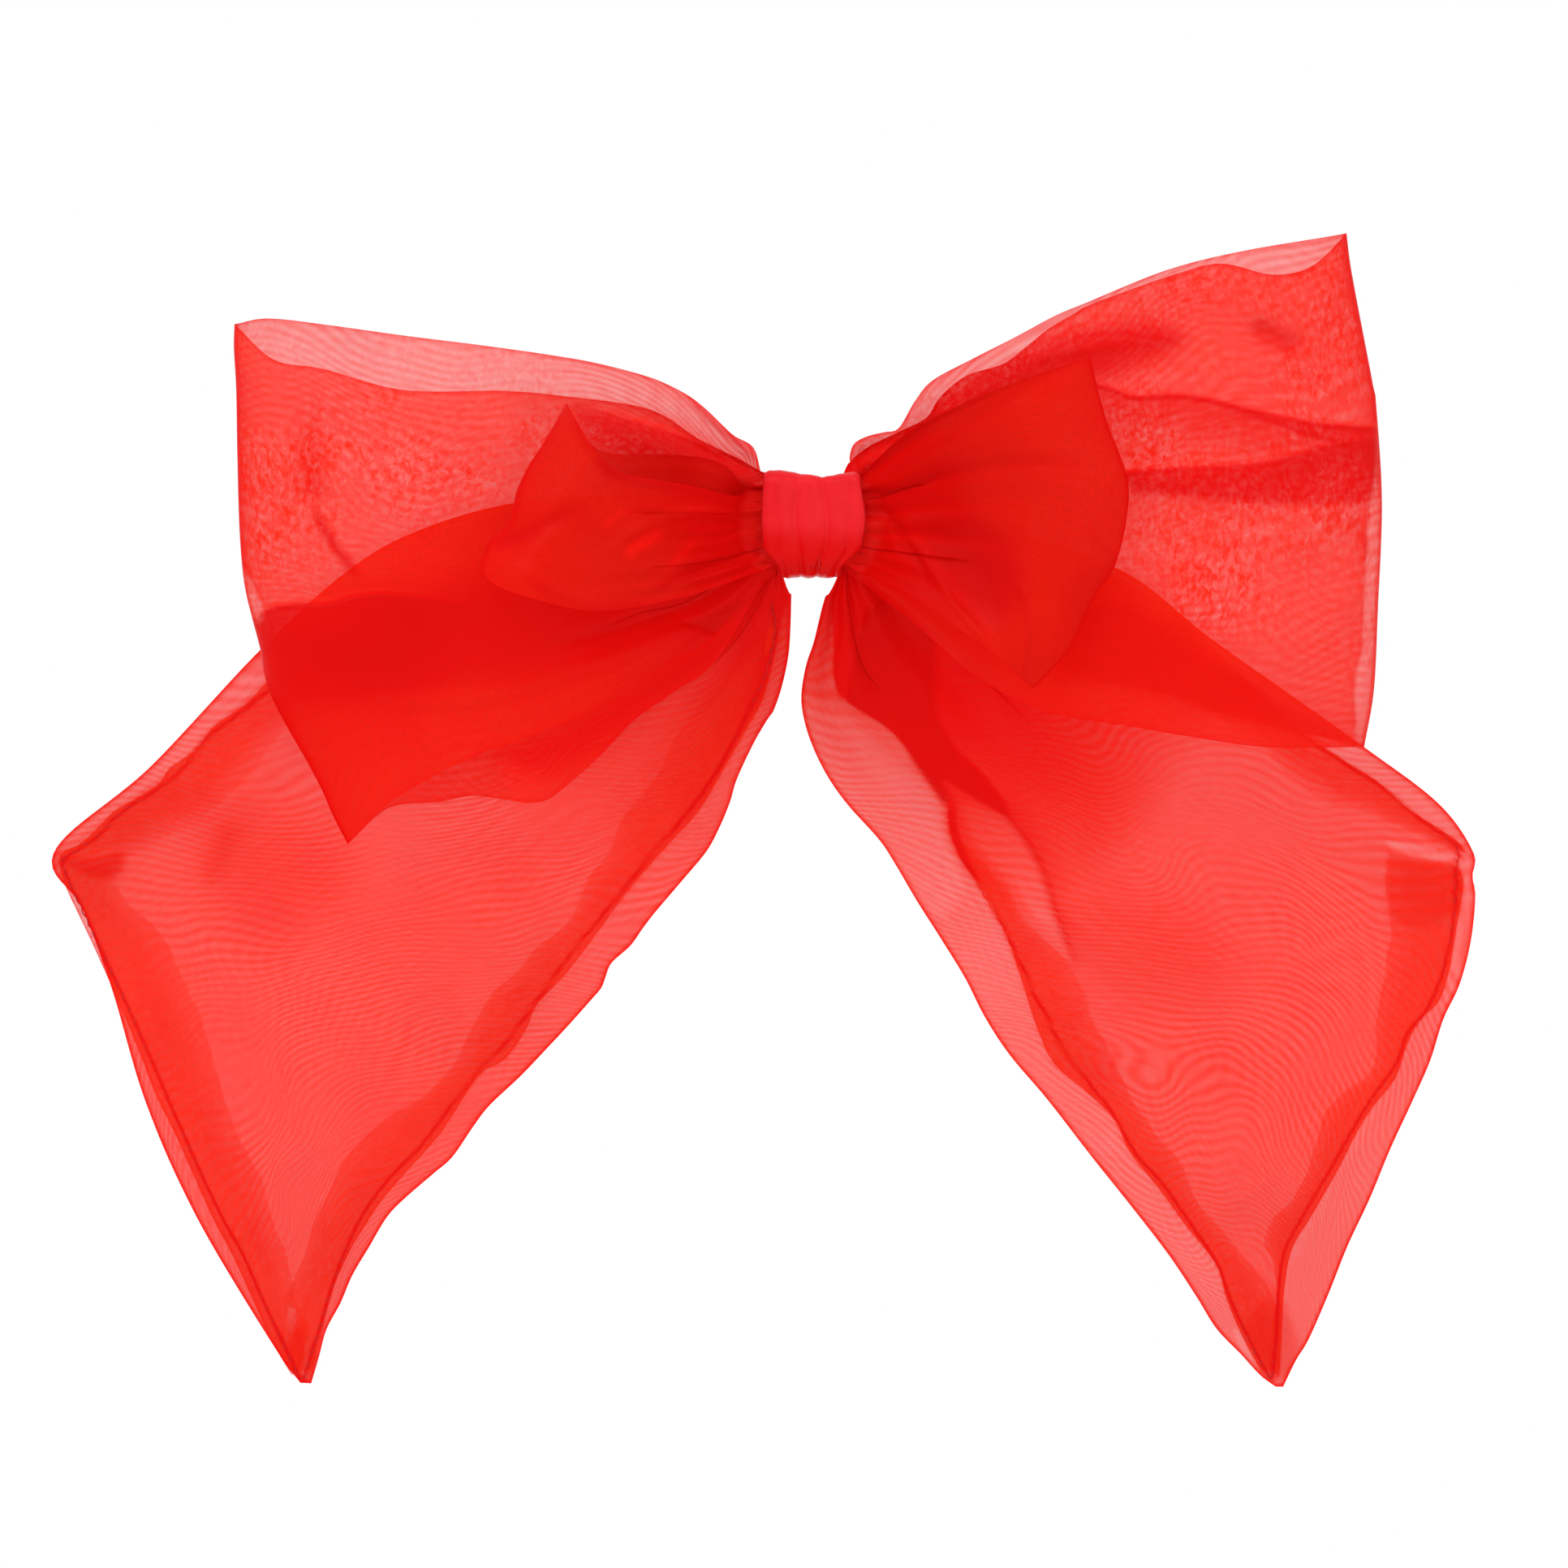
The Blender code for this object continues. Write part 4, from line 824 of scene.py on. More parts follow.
small_left, P_sl = loop_sheet(
    "small_loop_left_sheet", "small_loop_left", -1,
    front=([(-22.0, -13.0), (-36.9, -15.6), (-48.3, -13.5), (-55.4, -10.7)],
           [(-13.5, 4.7), (-19.9, 6.1), (-27.0, 7.2), (-32.4, 8.2), (-36.6, 10.9), (-40.2, 16.3)]),
    back=([(-22.0, -12.0), (-36.9, -14.0), (-48.3, -12.0), (-55.0, -9.6)],
          [(-14.9, 9.9), (-19.9, 11.5), (-28.4, 11.9), (-35.2, 11.9), (-38.6, 13.8), (-40.9, 17.5)]),
    end=[(-57.6, -6.9), (-56.0, -3.4), (-53.4, -1.2), (-52.0, 2.0), (-51.2, 5.4), (-49.2, 9.6),
         (-46.2, 14.2), (-42.6, 20.6)],
    neck=(222, 154), y_back=SMALL_BACK, y_front=SMALL_FRONT, y_end=-47.0, z_in=6.0,
    pleats_b=neck_pleats(2, 0.05, 0.5, 31), pleats_f=neck_pleats(2, 0.05, 0.45, 32),
    n_u=105, fine=95, marks_f=SMALL_LEFT_FOLDS, seed=3, level=2, gather_reach=0.75, gather=0.45, fine_gain=0.45)

small_right, P_sr = loop_sheet(
    "small_loop_right_sheet", "small_loop_right", 1,
    front=([(17.0, -13.5), (28.4, -20.6)],
           [(15.0, 13.5), (22.7, 17.8), (36.0, 23.5)]),
    back=([(17.0, -12.5), (28.4, -19.4)],
          [(15.0, 14.5), (22.7, 19.0), (36.0, 24.6)]),
    end=[(38.5, -29.1), (44.5, -22.5), (49.0, -13.5), (52.6, -7.8), (54.7, 0.7),
         (54.7, 7.8), (51.1, 17.8), (48.3, 28.4)],
    neck=(-44, 44), y_back=SMALL_BACK, y_front=SMALL_FRONT, y_end=-47.0, z_in=6.5,
    pleats_b=neck_pleats(2, 0.05, 0.5, 41), pleats_f=neck_pleats(2, 0.032, 0.36, 42),
    n_u=105, fine=100, marks_f=SMALL_RIGHT_FOLDS, seed=4, level=2, gather_reach=0.75, gather=0.75)


# =====================================================================
# the tails
# =====================================================================
def tail_depth(x, z, start, lean):
    r = np.hypot(x, z)
    free = np.clip((r - 30.0) / 110.0, 0, 1)
    across = np.arctan2(z, np.abs(x))
    return start + 3.0 * np.sin(9.0 * across + 0.6) * free ** 1.5 - lean * free * free


def edge_distance(x, z, poly):
    d = np.full(x.shape, 1e9)
    for k in range(len(poly) - 1):
        a, b = poly[k], poly[k + 1]
        ab = b - a
        t = np.clip(((x - a[0]) * ab[0] + (z - a[1]) * ab[1]) / max(ab @ ab, 1e-9), 0, 1)
        d = np.minimum(d, (x - a[0] - t * ab[0]) ** 2 + (z - a[1] - t * ab[1]) ** 2)
    return np.sqrt(d)


def tube_mesh(path, radius, sides=6):
    path = np.asarray(path, float)
    t = np.gradient(path, axis=0)
    t /= np.maximum(np.linalg.norm(t, axis=1, keepdims=True), 1e-9)
    up = np.array([0.0, 1.0, 0.0])
    a = np.cross(t, up)
    a /= np.maximum(np.linalg.norm(a, axis=1, keepdims=True), 1e-9)
    b = np.cross(a, t)
    ang = np.linspace(0, 2 * math.pi, sides, endpoint=False)
    ring = (a[:, None] * np.cos(ang)[None, :, None] + b[:, None] * np.sin(ang)[None, :, None]) * radius
    verts = (path[:, None] + ring).reshape(-1, 3)
    faces, n = [], len(path)
    for i in range(n - 1):
        for k in range(sides):
            q = (k + 1) % sides
            faces.append((i * sides + k, i * sides + q, (i + 1) * sides + q, (i + 1) * sides + k))
    faces.append(tuple(range(sides))[::-1])
    faces.append(tuple((n - 1) * sides + k for k in range(sides)))
    return verts, faces


def tail_pieces(side, sign, inner, top, outer, neck, start, lean, z_low, z_high, seed, seams, sewn_lines, field, marks, band=0.84, through=0.252, thick=0.02, thick_from=80.0):
    """A bagged-out tail: two sheets joined at a rolled edge, the seam allowance
    between them, and the line of stitches just inside the edge.  seams holds the
    two sides of each allowance strip, field the cloth that lies inside them all."""
    n_u, n_v = 190, 128
    us = np.linspace(0, 1, n_u)
    whole_outer = top + outer[1:]
    n0 = tuple(arc_point(NECK_R, neck[0], neck[1], 0.0))
    n1 = tuple(arc_point(NECK_R, neck[0], neck[1], 1.0))
    low, high = Line([n0] + inner), Line([n1] + whole_outer)
    V, L, _ = fold_columns(us, neck_pleats(3, 0.035, 0.22, seed), n_v)
    lo, hi = low.at(us)[:, None], high.at(us)[:, None]
    near = arc_point(NECK_R, neck[0], neck[1], V)
    tip_a, tip_b = np.array(inner[-1]), np.array(whole_outer[-1])
    v3, u3 = V[..., None], us[:, None, None]
    far = tip_a + (tip_b - tip_a) * v3
    xz = ((1 - v3) * lo + v3 * hi + (1 - u3) * near + u3 * far
          - ((1 - u3) * (1 - v3) * lo[0, 0] + u3 * (1 - v3) * tip_a
             + (1 - u3) * v3 * hi[0, 0] + u3 * v3 * tip_b))
    x, z = xz[..., 0], xz[..., 1]
    outline = np.vstack([low.at(np.linspace(0, 1, 140)), high.at(np.linspace(1, 0, 160))])

    def middle(x, z, lift):
        """Depth of the layer between the two sheets."""
        free = smoothstep((np.hypot(x, z) - 25.0) / 60.0)
        return (tail_depth(x, z, start, lean) + wobble(x, z, 60.0, seed + 3) * 1.3 * free
                + wobble(x, z, 21.0, seed + 4) * 0.35 * free - lift)

    ed = edge_distance(x, z, outline)
    r = np.hypot(x, z)
    dens, lift, shine, thin = marks_at(x, z, marks)
    fan = 1 - smoothstep(us / 0.34)[:, None]
    mid = middle(x, z, lift) + 0.5 * fan * streaks(V, seed + 21, 2.5, 8.0) + L * 0.8
    puff = 1.15 * smoothstep(ed / 16.0) * smoothstep((r - 14) / 30.0)
    inside_field = within(x, z, field, 0.35)
    seam_line = np.zeros(x.shape)
    for line in sewn_lines:
        seam_line = np.maximum(seam_line, np.exp(-(nearest(x, z, line, 4)[0] / 0.30) ** 2))
    close = thick * np.clip(thick_from - r, 0, 60) * (0.25 + 0.75 * inside_field)
    made = []
    inside_run = np.linspace(0, 1, 7)[:-1]
    for which, way in (("back", 1.0), ("front", -1.0)):
        y = mid + way * (0.16 + puff * (1.0 + 0.35 * wobble(x, z, 33.0, seed + (11 if way > 0 else 17))))
        P = np.stack([x, y, z], -1)
        z_end = z_low + (z_high - z_low) * V[0]
        rows = []
        for t in inside_run:
            e = smoothstep(t)
            rows.append(np.stack([sign * 6.0 + (x[0] - sign * 6.0) * t, y[0], z_end + (z[0] - z_end) * e], -1))
        P = np.concatenate([np.array(rows), P])

        def padded(a, fill):
            return np.concatenate([np.full((6, a.shape[1]), fill), a])

        uv = cloth_uv(P)
        name = "tail_%s_%s_sheet" % (side, which)
        obj = make_mesh(name, P.reshape(-1, 3), grid_faces(*P.shape[:2]),
                        organza(name + "_organza", through, 0.34 if way < 0 else 0.08, 0.06, seed=seed * 0.31 + (0.5 if way > 0 else 0.0)),
                        uv.reshape(-1, 2))
        D = turned_away(obj, 0.5, 0.7).reshape(P.shape[:2]) + padded(dens * (0.85 if way < 0 else 0.55) + 0.12 * fan * (1 + streaks(V, seed + 31, 4, 11)) + close
                                                                        + (1.3 * seam_line if way < 0 else 0.0), 0.6)
        D = D * (band + (1 - band) * padded(inside_field, 1.0))
        D = D * padded(thin, 1.0)
        D = D + 1.0 * np.exp(-(padded(ed, 9.0) / 0.42) ** 2) + 1.3 * np.exp(-(padded(r, 13.0) / 20.0) ** 2)
        put(obj, "dens", np.maximum(D, 0.3))
        # painted shade where light from behind is held back and in the folds, and darker along the stitch lines
        put(obj, "shade", np.clip(shade_of(P[..., 0], P[..., 2], 0) + padded(shine - 0.06 * np.clip(dens, -0.5, 2) - 0.10 * seam_line, 0.0), 0.4, 1.0))
        put(obj, "coarse", np.ones(D.shape))
        put(obj, "fringe", np.ones(D.shape))
        put(obj, "warmth_and_shade", np.ones(D.shape))
        obj.visible_shadow = False
        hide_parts("tail_%s_%s" % (side, which))
        # the panel's cut: as wide as its widest row all the way into the knot, then its own point
        across = np.linalg.norm(np.diff(P, axis=1), axis=-1).sum(1)
        cut = np.where(np.arange(len(across)) < across.argmax(), across.max(), across)
        made.append(obj)

    # seam allowance: one strip along each edge, lying between the two sheets
    verts, faces, uvs, dn, base, total = [], [], [], [], 0, 0.0
    for k, (edge, soft_edge, taper) in enumerate(seams):
        a_line, b_line = Line(edge), Line(soft_edge)
        n = 150
        f = np.linspace(0, 1, n)
        a_pts, b_pts = a_line.at(f), b_line.at(f)
        across = np.linspace(0, 1, 22)
        fray = 0.5 * (np.sin(41 * f + k) + 0.6 * np.sin(97 * f + 2 * k))
        q = a_pts[:, None] + (b_pts - a_pts)[:, None] * across[None, :, None]
        q = q + ((b_pts - a_pts) / np.maximum(np.linalg.norm(b_pts - a_pts, axis=1, keepdims=True), 1e-6) * fray[:, None])[:, None] * (across[None, :, None] ** 2) * 0.35
        _, lf, _, _ = marks_at(q[..., 0], q[..., 1], marks)
        qy = middle(q[..., 0], q[..., 1], lf)
        P = np.stack([q[..., 0], qy, q[..., 1]], -1)
        wide = np.linalg.norm(b_pts - a_pts, axis=1)[:, None]
        d = 1.0 + 0.7 * np.exp(-(across[None] * wide / 0.40) ** 2) + 0 * wide
        d = d * (1 - (1 - taper) * smoothstep((across[None] - 0.45) / 0.55))
        d = d * smoothstep(np.minimum(f, 1 - f)[:, None] / 0.02 + 0.3)
        verts.append(P.reshape(-1, 3))
        faces.append(grid_faces(P.shape[0], P.shape[1], base))
        uvs.append((cloth_uv(P) + [37.0 * k, 11.0 * k]).reshape(-1, 2))
        dn.append(d.ravel())
        base += P.shape[0] * P.shape[1]
        total += area_of(P) * 1e-6
    verts = np.vstack(verts)
    allow = make_mesh("tail_%s_seam_allowance" % side, verts, np.vstack(faces),
                      organza("tail_%s_allowance_organza" % side, 0.28, 0.04, 0.42, seed=seed * 0.7 + 1), np.vstack(uvs))
    put(allow, "dens", np.maximum(np.concatenate(dn), 0.05))
    # painted shade: the allowance between the sheets is darkened and its warmth lowered
    put(allow, "shade", np.full(len(verts), 0.95))
    put(allow, "coarse", np.ones(len(verts)))
    put(allow, "fringe", np.ones(len(verts)))
    put(allow, "warmth_and_shade", np.full(len(verts), 0.6))
    allow.visible_shadow = False
    # stitches
    verts, faces, base = [], [], 0
    for line in sewn_lines:
        c = Line(line)
        m = max(60, int(c.length / 0.33))
        s = np.linspace(0, 1, m)
        q = c.at(s)
        _, lf, _, _ = marks_at(q[:, 0], q[:, 1], marks)
        fine = np.stack([q[:, 0], middle(q[:, 0], q[:, 1], lf) - 0.12, q[:, 1]], -1)
        wave = 2 * math.pi * s * c.length / 2.4
        tt = np.gradient(fine, axis=0)
        tt /= np.linalg.norm(tt, axis=1, keepdims=True)
        fine = fine + np.cross(tt, [0, 1, 0]) * (0.14 * np.sin(wave))[:, None]
        fine[:, 1] += 0.10 * np.cos(wave)
        v, f = tube_mesh(fine, 0.12, 5)
        verts.append(v)
        faces += [tuple(i + base for i in face) for face in f]
        base += len(v)
    sewn = make_mesh("tail_%s_stitches" % side, np.vstack(verts), faces, THREAD)
    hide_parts("tail_%s_seam_thread" % side)
    away = np.array([np.mean([p[0] for p in inner[:4] + top[:4]]), np.mean([p[1] for p in inner[:4] + top[:4]])])
    away = away / np.linalg.norm(away)
    for obj in made + [allow, sewn]:
        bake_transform(obj)
    return made, allow, sewn


L_TOP_EDGE = [(-79.5, -11.4), (-85.9, -17.8), (-90.9, -23.2), (-95.2, -27.4), (-99.4, -31.7), (-104.8, -35.5), (-107.2, -39.1), (-112.2, -42.6), (-114.3, -45.5), (-118.6, -48.3), (-122.2, -50.4), (-125.0, -53.3), (-128.1, -56.1), (-131.0, -57.5), (-132.1, -59.5)]
L_TOP_SOFT = [(-73.9, -16.3), (-79.5, -23.4), (-85.9, -29.1), (-91.6, -34.8), (-95.2, -39.8), (-99.4, -44.7), (-103.7, -49.0), (-108.0, -52.1), (-112.9, -54.7), (-117.9, -57.0), (-121.4, -58.4), (-124.3, -59.2), (-127.1, -59.8), (-129.3, -60.1), (-131.4, -60.4)]
L_END_EDGE = [(-131.8, -59.8), (-130.7, -63.5), (-128.6, -68.2), (-125.0, -76.0), (-121.2, -84.5), (-117.6, -93.0), (-114.8, -100.1), (-111.2, -107.2), (-108.0, -114.3), (-104.7, -121.4), (-100.9, -128.6), (-97.7, -135.7), (-94.5, -142.8), (-90.9, -149.0)]
L_END_SOFT = [(-123.6, -59.8), (-120.7, -65.3), (-115.1, -71.0), (-111.5, -76.7), (-108.0, -84.5), (-104.8, -93.0), (-103.0, -100.1), (-99.4, -108.7), (-95.9, -115.8), (-93.8, -122.9), (-91.6, -129.3), (-90.1, -135.7), (-88.1, -141.3), (-87.5, -148.4)]
L_IN_EDGE = [(-5.4, -16.3), (-6.4, -22.0), (-8.5, -30.5), (-11.6, -36.2), (-15.6, -43.3), (-19.9, -50.4), (-26.3, -57.5), (-32.4, -64.6), (-37.6, -71.7), (-43.0, -78.8), (-48.3, -84.5), (-50.0, -88.5), (-53.7, -93.8), (-58.2, -96.6), (-62.5, -103.0), (-65.3, -107.2), (-71.0, -113.6), (-75.3, -118.6), (-78.1, -122.9), (-81.0, -127.8), (-83.5, -133.5), (-84.9, -138.5), (-87.4, -148.4)]
L_IN_SOFT = [(-9.2, -17.8), (-13.5, -24.1), (-18.2, -30.5), (-23.4, -36.9), (-25.6, -41.2), (-29.8, -47.6), (-33.4, -51.8), (-35.2, -57.5), (-39.1, -61.8), (-40.9, -66.1), (-43.3, -70.3), (-48.3, -74.6), (-51.8, -78.8), (-56.8, -83.1), (-60.4, -90.2), (-62.5, -94.5), (-66.8, -99.4), (-73.9, -103.7), (-78.4, -107.5), (-82.4, -112.9), (-85.2, -118.6), (-87.4, -122.9), (-88.8, -128.6), (-90.6, -132.8), (-92.0, -137.4), (-90.9, -148.4)]
R_TOP_EDGE = [(62.5, -14.2), (73.9, -24.9), (83.8, -34.5), (88.1, -37.9), (93.8, -41.6), (99.4, -45.2), (105.1, -50.1), (110.8, -53.8), (113.6, -55.8), (115.1, -57.8)]
R_TOP_SOFT = [(56.8, -20.6), (66.8, -30.5), (79.5, -39.8), (84.1, -44.3), (88.4, -47.6), (93.8, -49.7), (98.0, -50.9), (103.0, -53.0), (108.0, -55.3), (113.6, -57.5)]
R_END_EDGE = [(113.6, -59.8), (114.5, -62.4), (114.2, -66.1), (113.2, -71.7), (111.9, -78.8), (110.1, -83.8), (106.5, -87.4), (104.4, -91.6), (102.3, -97.3), (98.3, -102.3), (95.2, -107.2), (92.3, -112.9), (87.4, -121.4), (84.1, -127.1), (82.8, -134.2), (82.4, -141.3), (82.0, -149.6)]
R_END_SOFT = [(101.7, -57.5), (101.0, -61.1), (101.1, -66.1), (102.0, -71.7), (100.9, -77.4), (99.6, -84.5), (99.1, -91.6), (98.0, -95.9), (93.0, -100.1), (89.8, -103.7), (88.1, -108.7), (86.6, -114.3), (83.8, -118.6), (80.7, -121.7), (79.5, -125.7), (81.0, -130.0), (81.2, -137.1), (79.5, -148.4)]
R_IN_EDGE = [(23.9, -48.3), (24.4, -54.0), (26.6, -59.2), (30.5, -64.6), (34.1, -71.7), (36.5, -78.8), (37.9, -83.1), (39.8, -88.8), (42.6, -94.7), (48.3, -99.7), (53.3, -104.7), (55.8, -110.1), (61.1, -116.8), (65.3, -122.6), (71.0, -130.0), (72.7, -135.7), (75.7, -142.8), (79.1, -149.0)]
R_IN_SOFT = [(25.6, -48.3), (26.0, -54.0), (30.1, -59.2), (34.1, -63.9), (38.4, -70.3), (44.0, -76.0), (47.7, -81.7), (49.7, -87.4), (52.3, -93.0), (56.1, -100.1), (60.4, -107.2), (65.3, -112.9), (66.8, -117.2), (69.6, -121.4), (75.3, -127.8), (79.5, -132.8), (82.1, -141.3), (81.8, -149.0)]

tail_pieces(
    "left", -1,
    inner=[(-3.7, -18.5), (-4.1, -23.4), (-5.3, -28.8), (-6.7, -32.8), (-7.7, -34.2), (-10.2, -38.5), (-13.1, -44.7), (-14.3, -48.7), (-16.2, -53.3), (-18.5, -57.5), (-23.0, -62.9), (-27.6, -68.3), (-29.8, -71.2), (-31.8, -74.0), (-35.1, -77.0), (-36.1, -79.3), (-36.9, -81.4), (-38.6, -83.4), (-42.6, -87.9), (-46.9, -92.5), (-51.1, -96.9), (-56.5, -102.0), (-59.4, -105.8), (-62.9, -110.9), (-66.2, -113.8), (-71.3, -118.2), (-74.3, -121.4), (-77.4, -126.6), (-80.3, -131.5), (-82.4, -136.4), (-84.8, -140.9), (-86.1, -145.6), (-87.5, -150.4)],
    top=[(-30.0, 5.2), (-51.1, 4.0), (-68.2, -0.7), (-81.0, -7.8), (-96.6, -22.0),
         (-115.8, -42.6), (-132.6, -57.5)],
    outer=[(-132.6, -57.5), (-127.8, -67.5), (-122.6, -81.7), (-116.5, -101.6),
           (-107.7, -121.0), (-93.8, -144.2), (-89.4, -150.3)],
    neck=(254, 162), start=-16.0, lean=11.0, z_low=-7.2, z_high=3.5, seed=51,
    seams=[(L_TOP_EDGE, L_TOP_SOFT, 0.30), (L_END_EDGE, L_END_SOFT, 0.45), (L_IN_EDGE, L_IN_SOFT, 0.55)],
    sewn_lines=[[(-95.2, -29.1), (-100.9, -33.7), (-105.8, -37.4), (-110.1, -42.6), (-114.3, -46.4), (-120.7, -50.4), (-125.0, -54.7), (-129.5, -57.8), (-131.2, -59.2), (-130.1, -62.5), (-127.8, -67.8), (-123.6, -76.7), (-119.6, -85.2), (-115.8, -93.5), (-112.6, -100.9), (-109.7, -107.2), (-106.5, -114.3), (-103.0, -121.4), (-99.4, -127.8), (-96.3, -134.9), (-93.0, -142.0), (-89.5, -149.6)],
                [(-7.1, -13.5), (-6.4, -18.5), (-7.8, -25.6), (-10.7, -32.0), (-14.2, -39.1), (-18.5, -46.2), (-23.4, -52.6), (-28.4, -58.2), (-33.0, -64.3), (-38.4, -70.6), (-42.9, -76.3), (-48.0, -83.4), (-53.3, -90.5), (-56.8, -94.2), (-62.5, -101.1), (-68.2, -108.7), (-73.9, -114.6), (-78.1, -120.3), (-81.0, -126.0), (-83.8, -133.1), (-85.9, -140.2), (-88.8, -149.3)]],
    field=L_TOP_EDGE + L_END_EDGE + L_IN_EDGE[::-1] + [(-2.8, -7.8), (-8.5, 0.7), (-28.4, 6.4), (-51.1, 5.0), (-68.2, 0.0)],
    marks=[("crease", [(-100.9, -50.4), (-104.0, -57.5), (-106.2, -64.6)], 2.4, 0.25, 0.5, (0.3, 0.3)),
           ("patch", [(-82.4, -64.6), (-68.2, -66.1), (-56.8, -58.9), (-45.5, -57.5), (-51.1, -70.3), (-65.3, -77.4), (-79.5, -74.6)], 9.0, 0.10, 0.7),
           ("patch", [(-106.5, -51.8), (-99.4, -48.3), (-82.4, -57.5), (-85.2, -67.5), (-95.2, -73.2), (-105.1, -64.6)], 8.0, 0.34, 0.6),
           ("patch", [(-131.8, -58.7), (-126.4, -58.7), (-120.7, -57.5), (-121.9, -61.8), (-126.4, -61.5)], 0.8, 0.8, 0.2),
           ("patch", [(-93.8, -141.3), (-88.1, -140.8), (-87.2, -148.4), (-90.2, -149.9)], 1.0, 0.5, 0.2),
           ("thin", [(-91.5, -136.8), (-90.1, -137.6), (-90.3, -141.3), (-92.0, -142.5)], 0.5, 0.5),
           ("thin", [(-88.4, -141.6), (-87.5, -142.8), (-88.4, -148.4), (-89.2, -148.4)], 0.4, 0.55),
           ("step", [(-66.8, -79.5), (-64.6, -83.8), (-62.5, -88.8)], 1, 3.0, 0.06, 0.2, 0.05, (0.3, 0.3)),
           ("thin", [(-99.4, -24.1), (-95.2, -27.0), (-104.8, -35.2), (-110.1, -41.9), (-115.1, -45.0), (-125.0, -52.6), (-131.8, -56.8), (-133.5, -53.3), (-120.7, -43.3), (-106.5, -30.5)], 0.6, 0.80)],
    band=0.92, thick=0.012, thick_from=75.0)
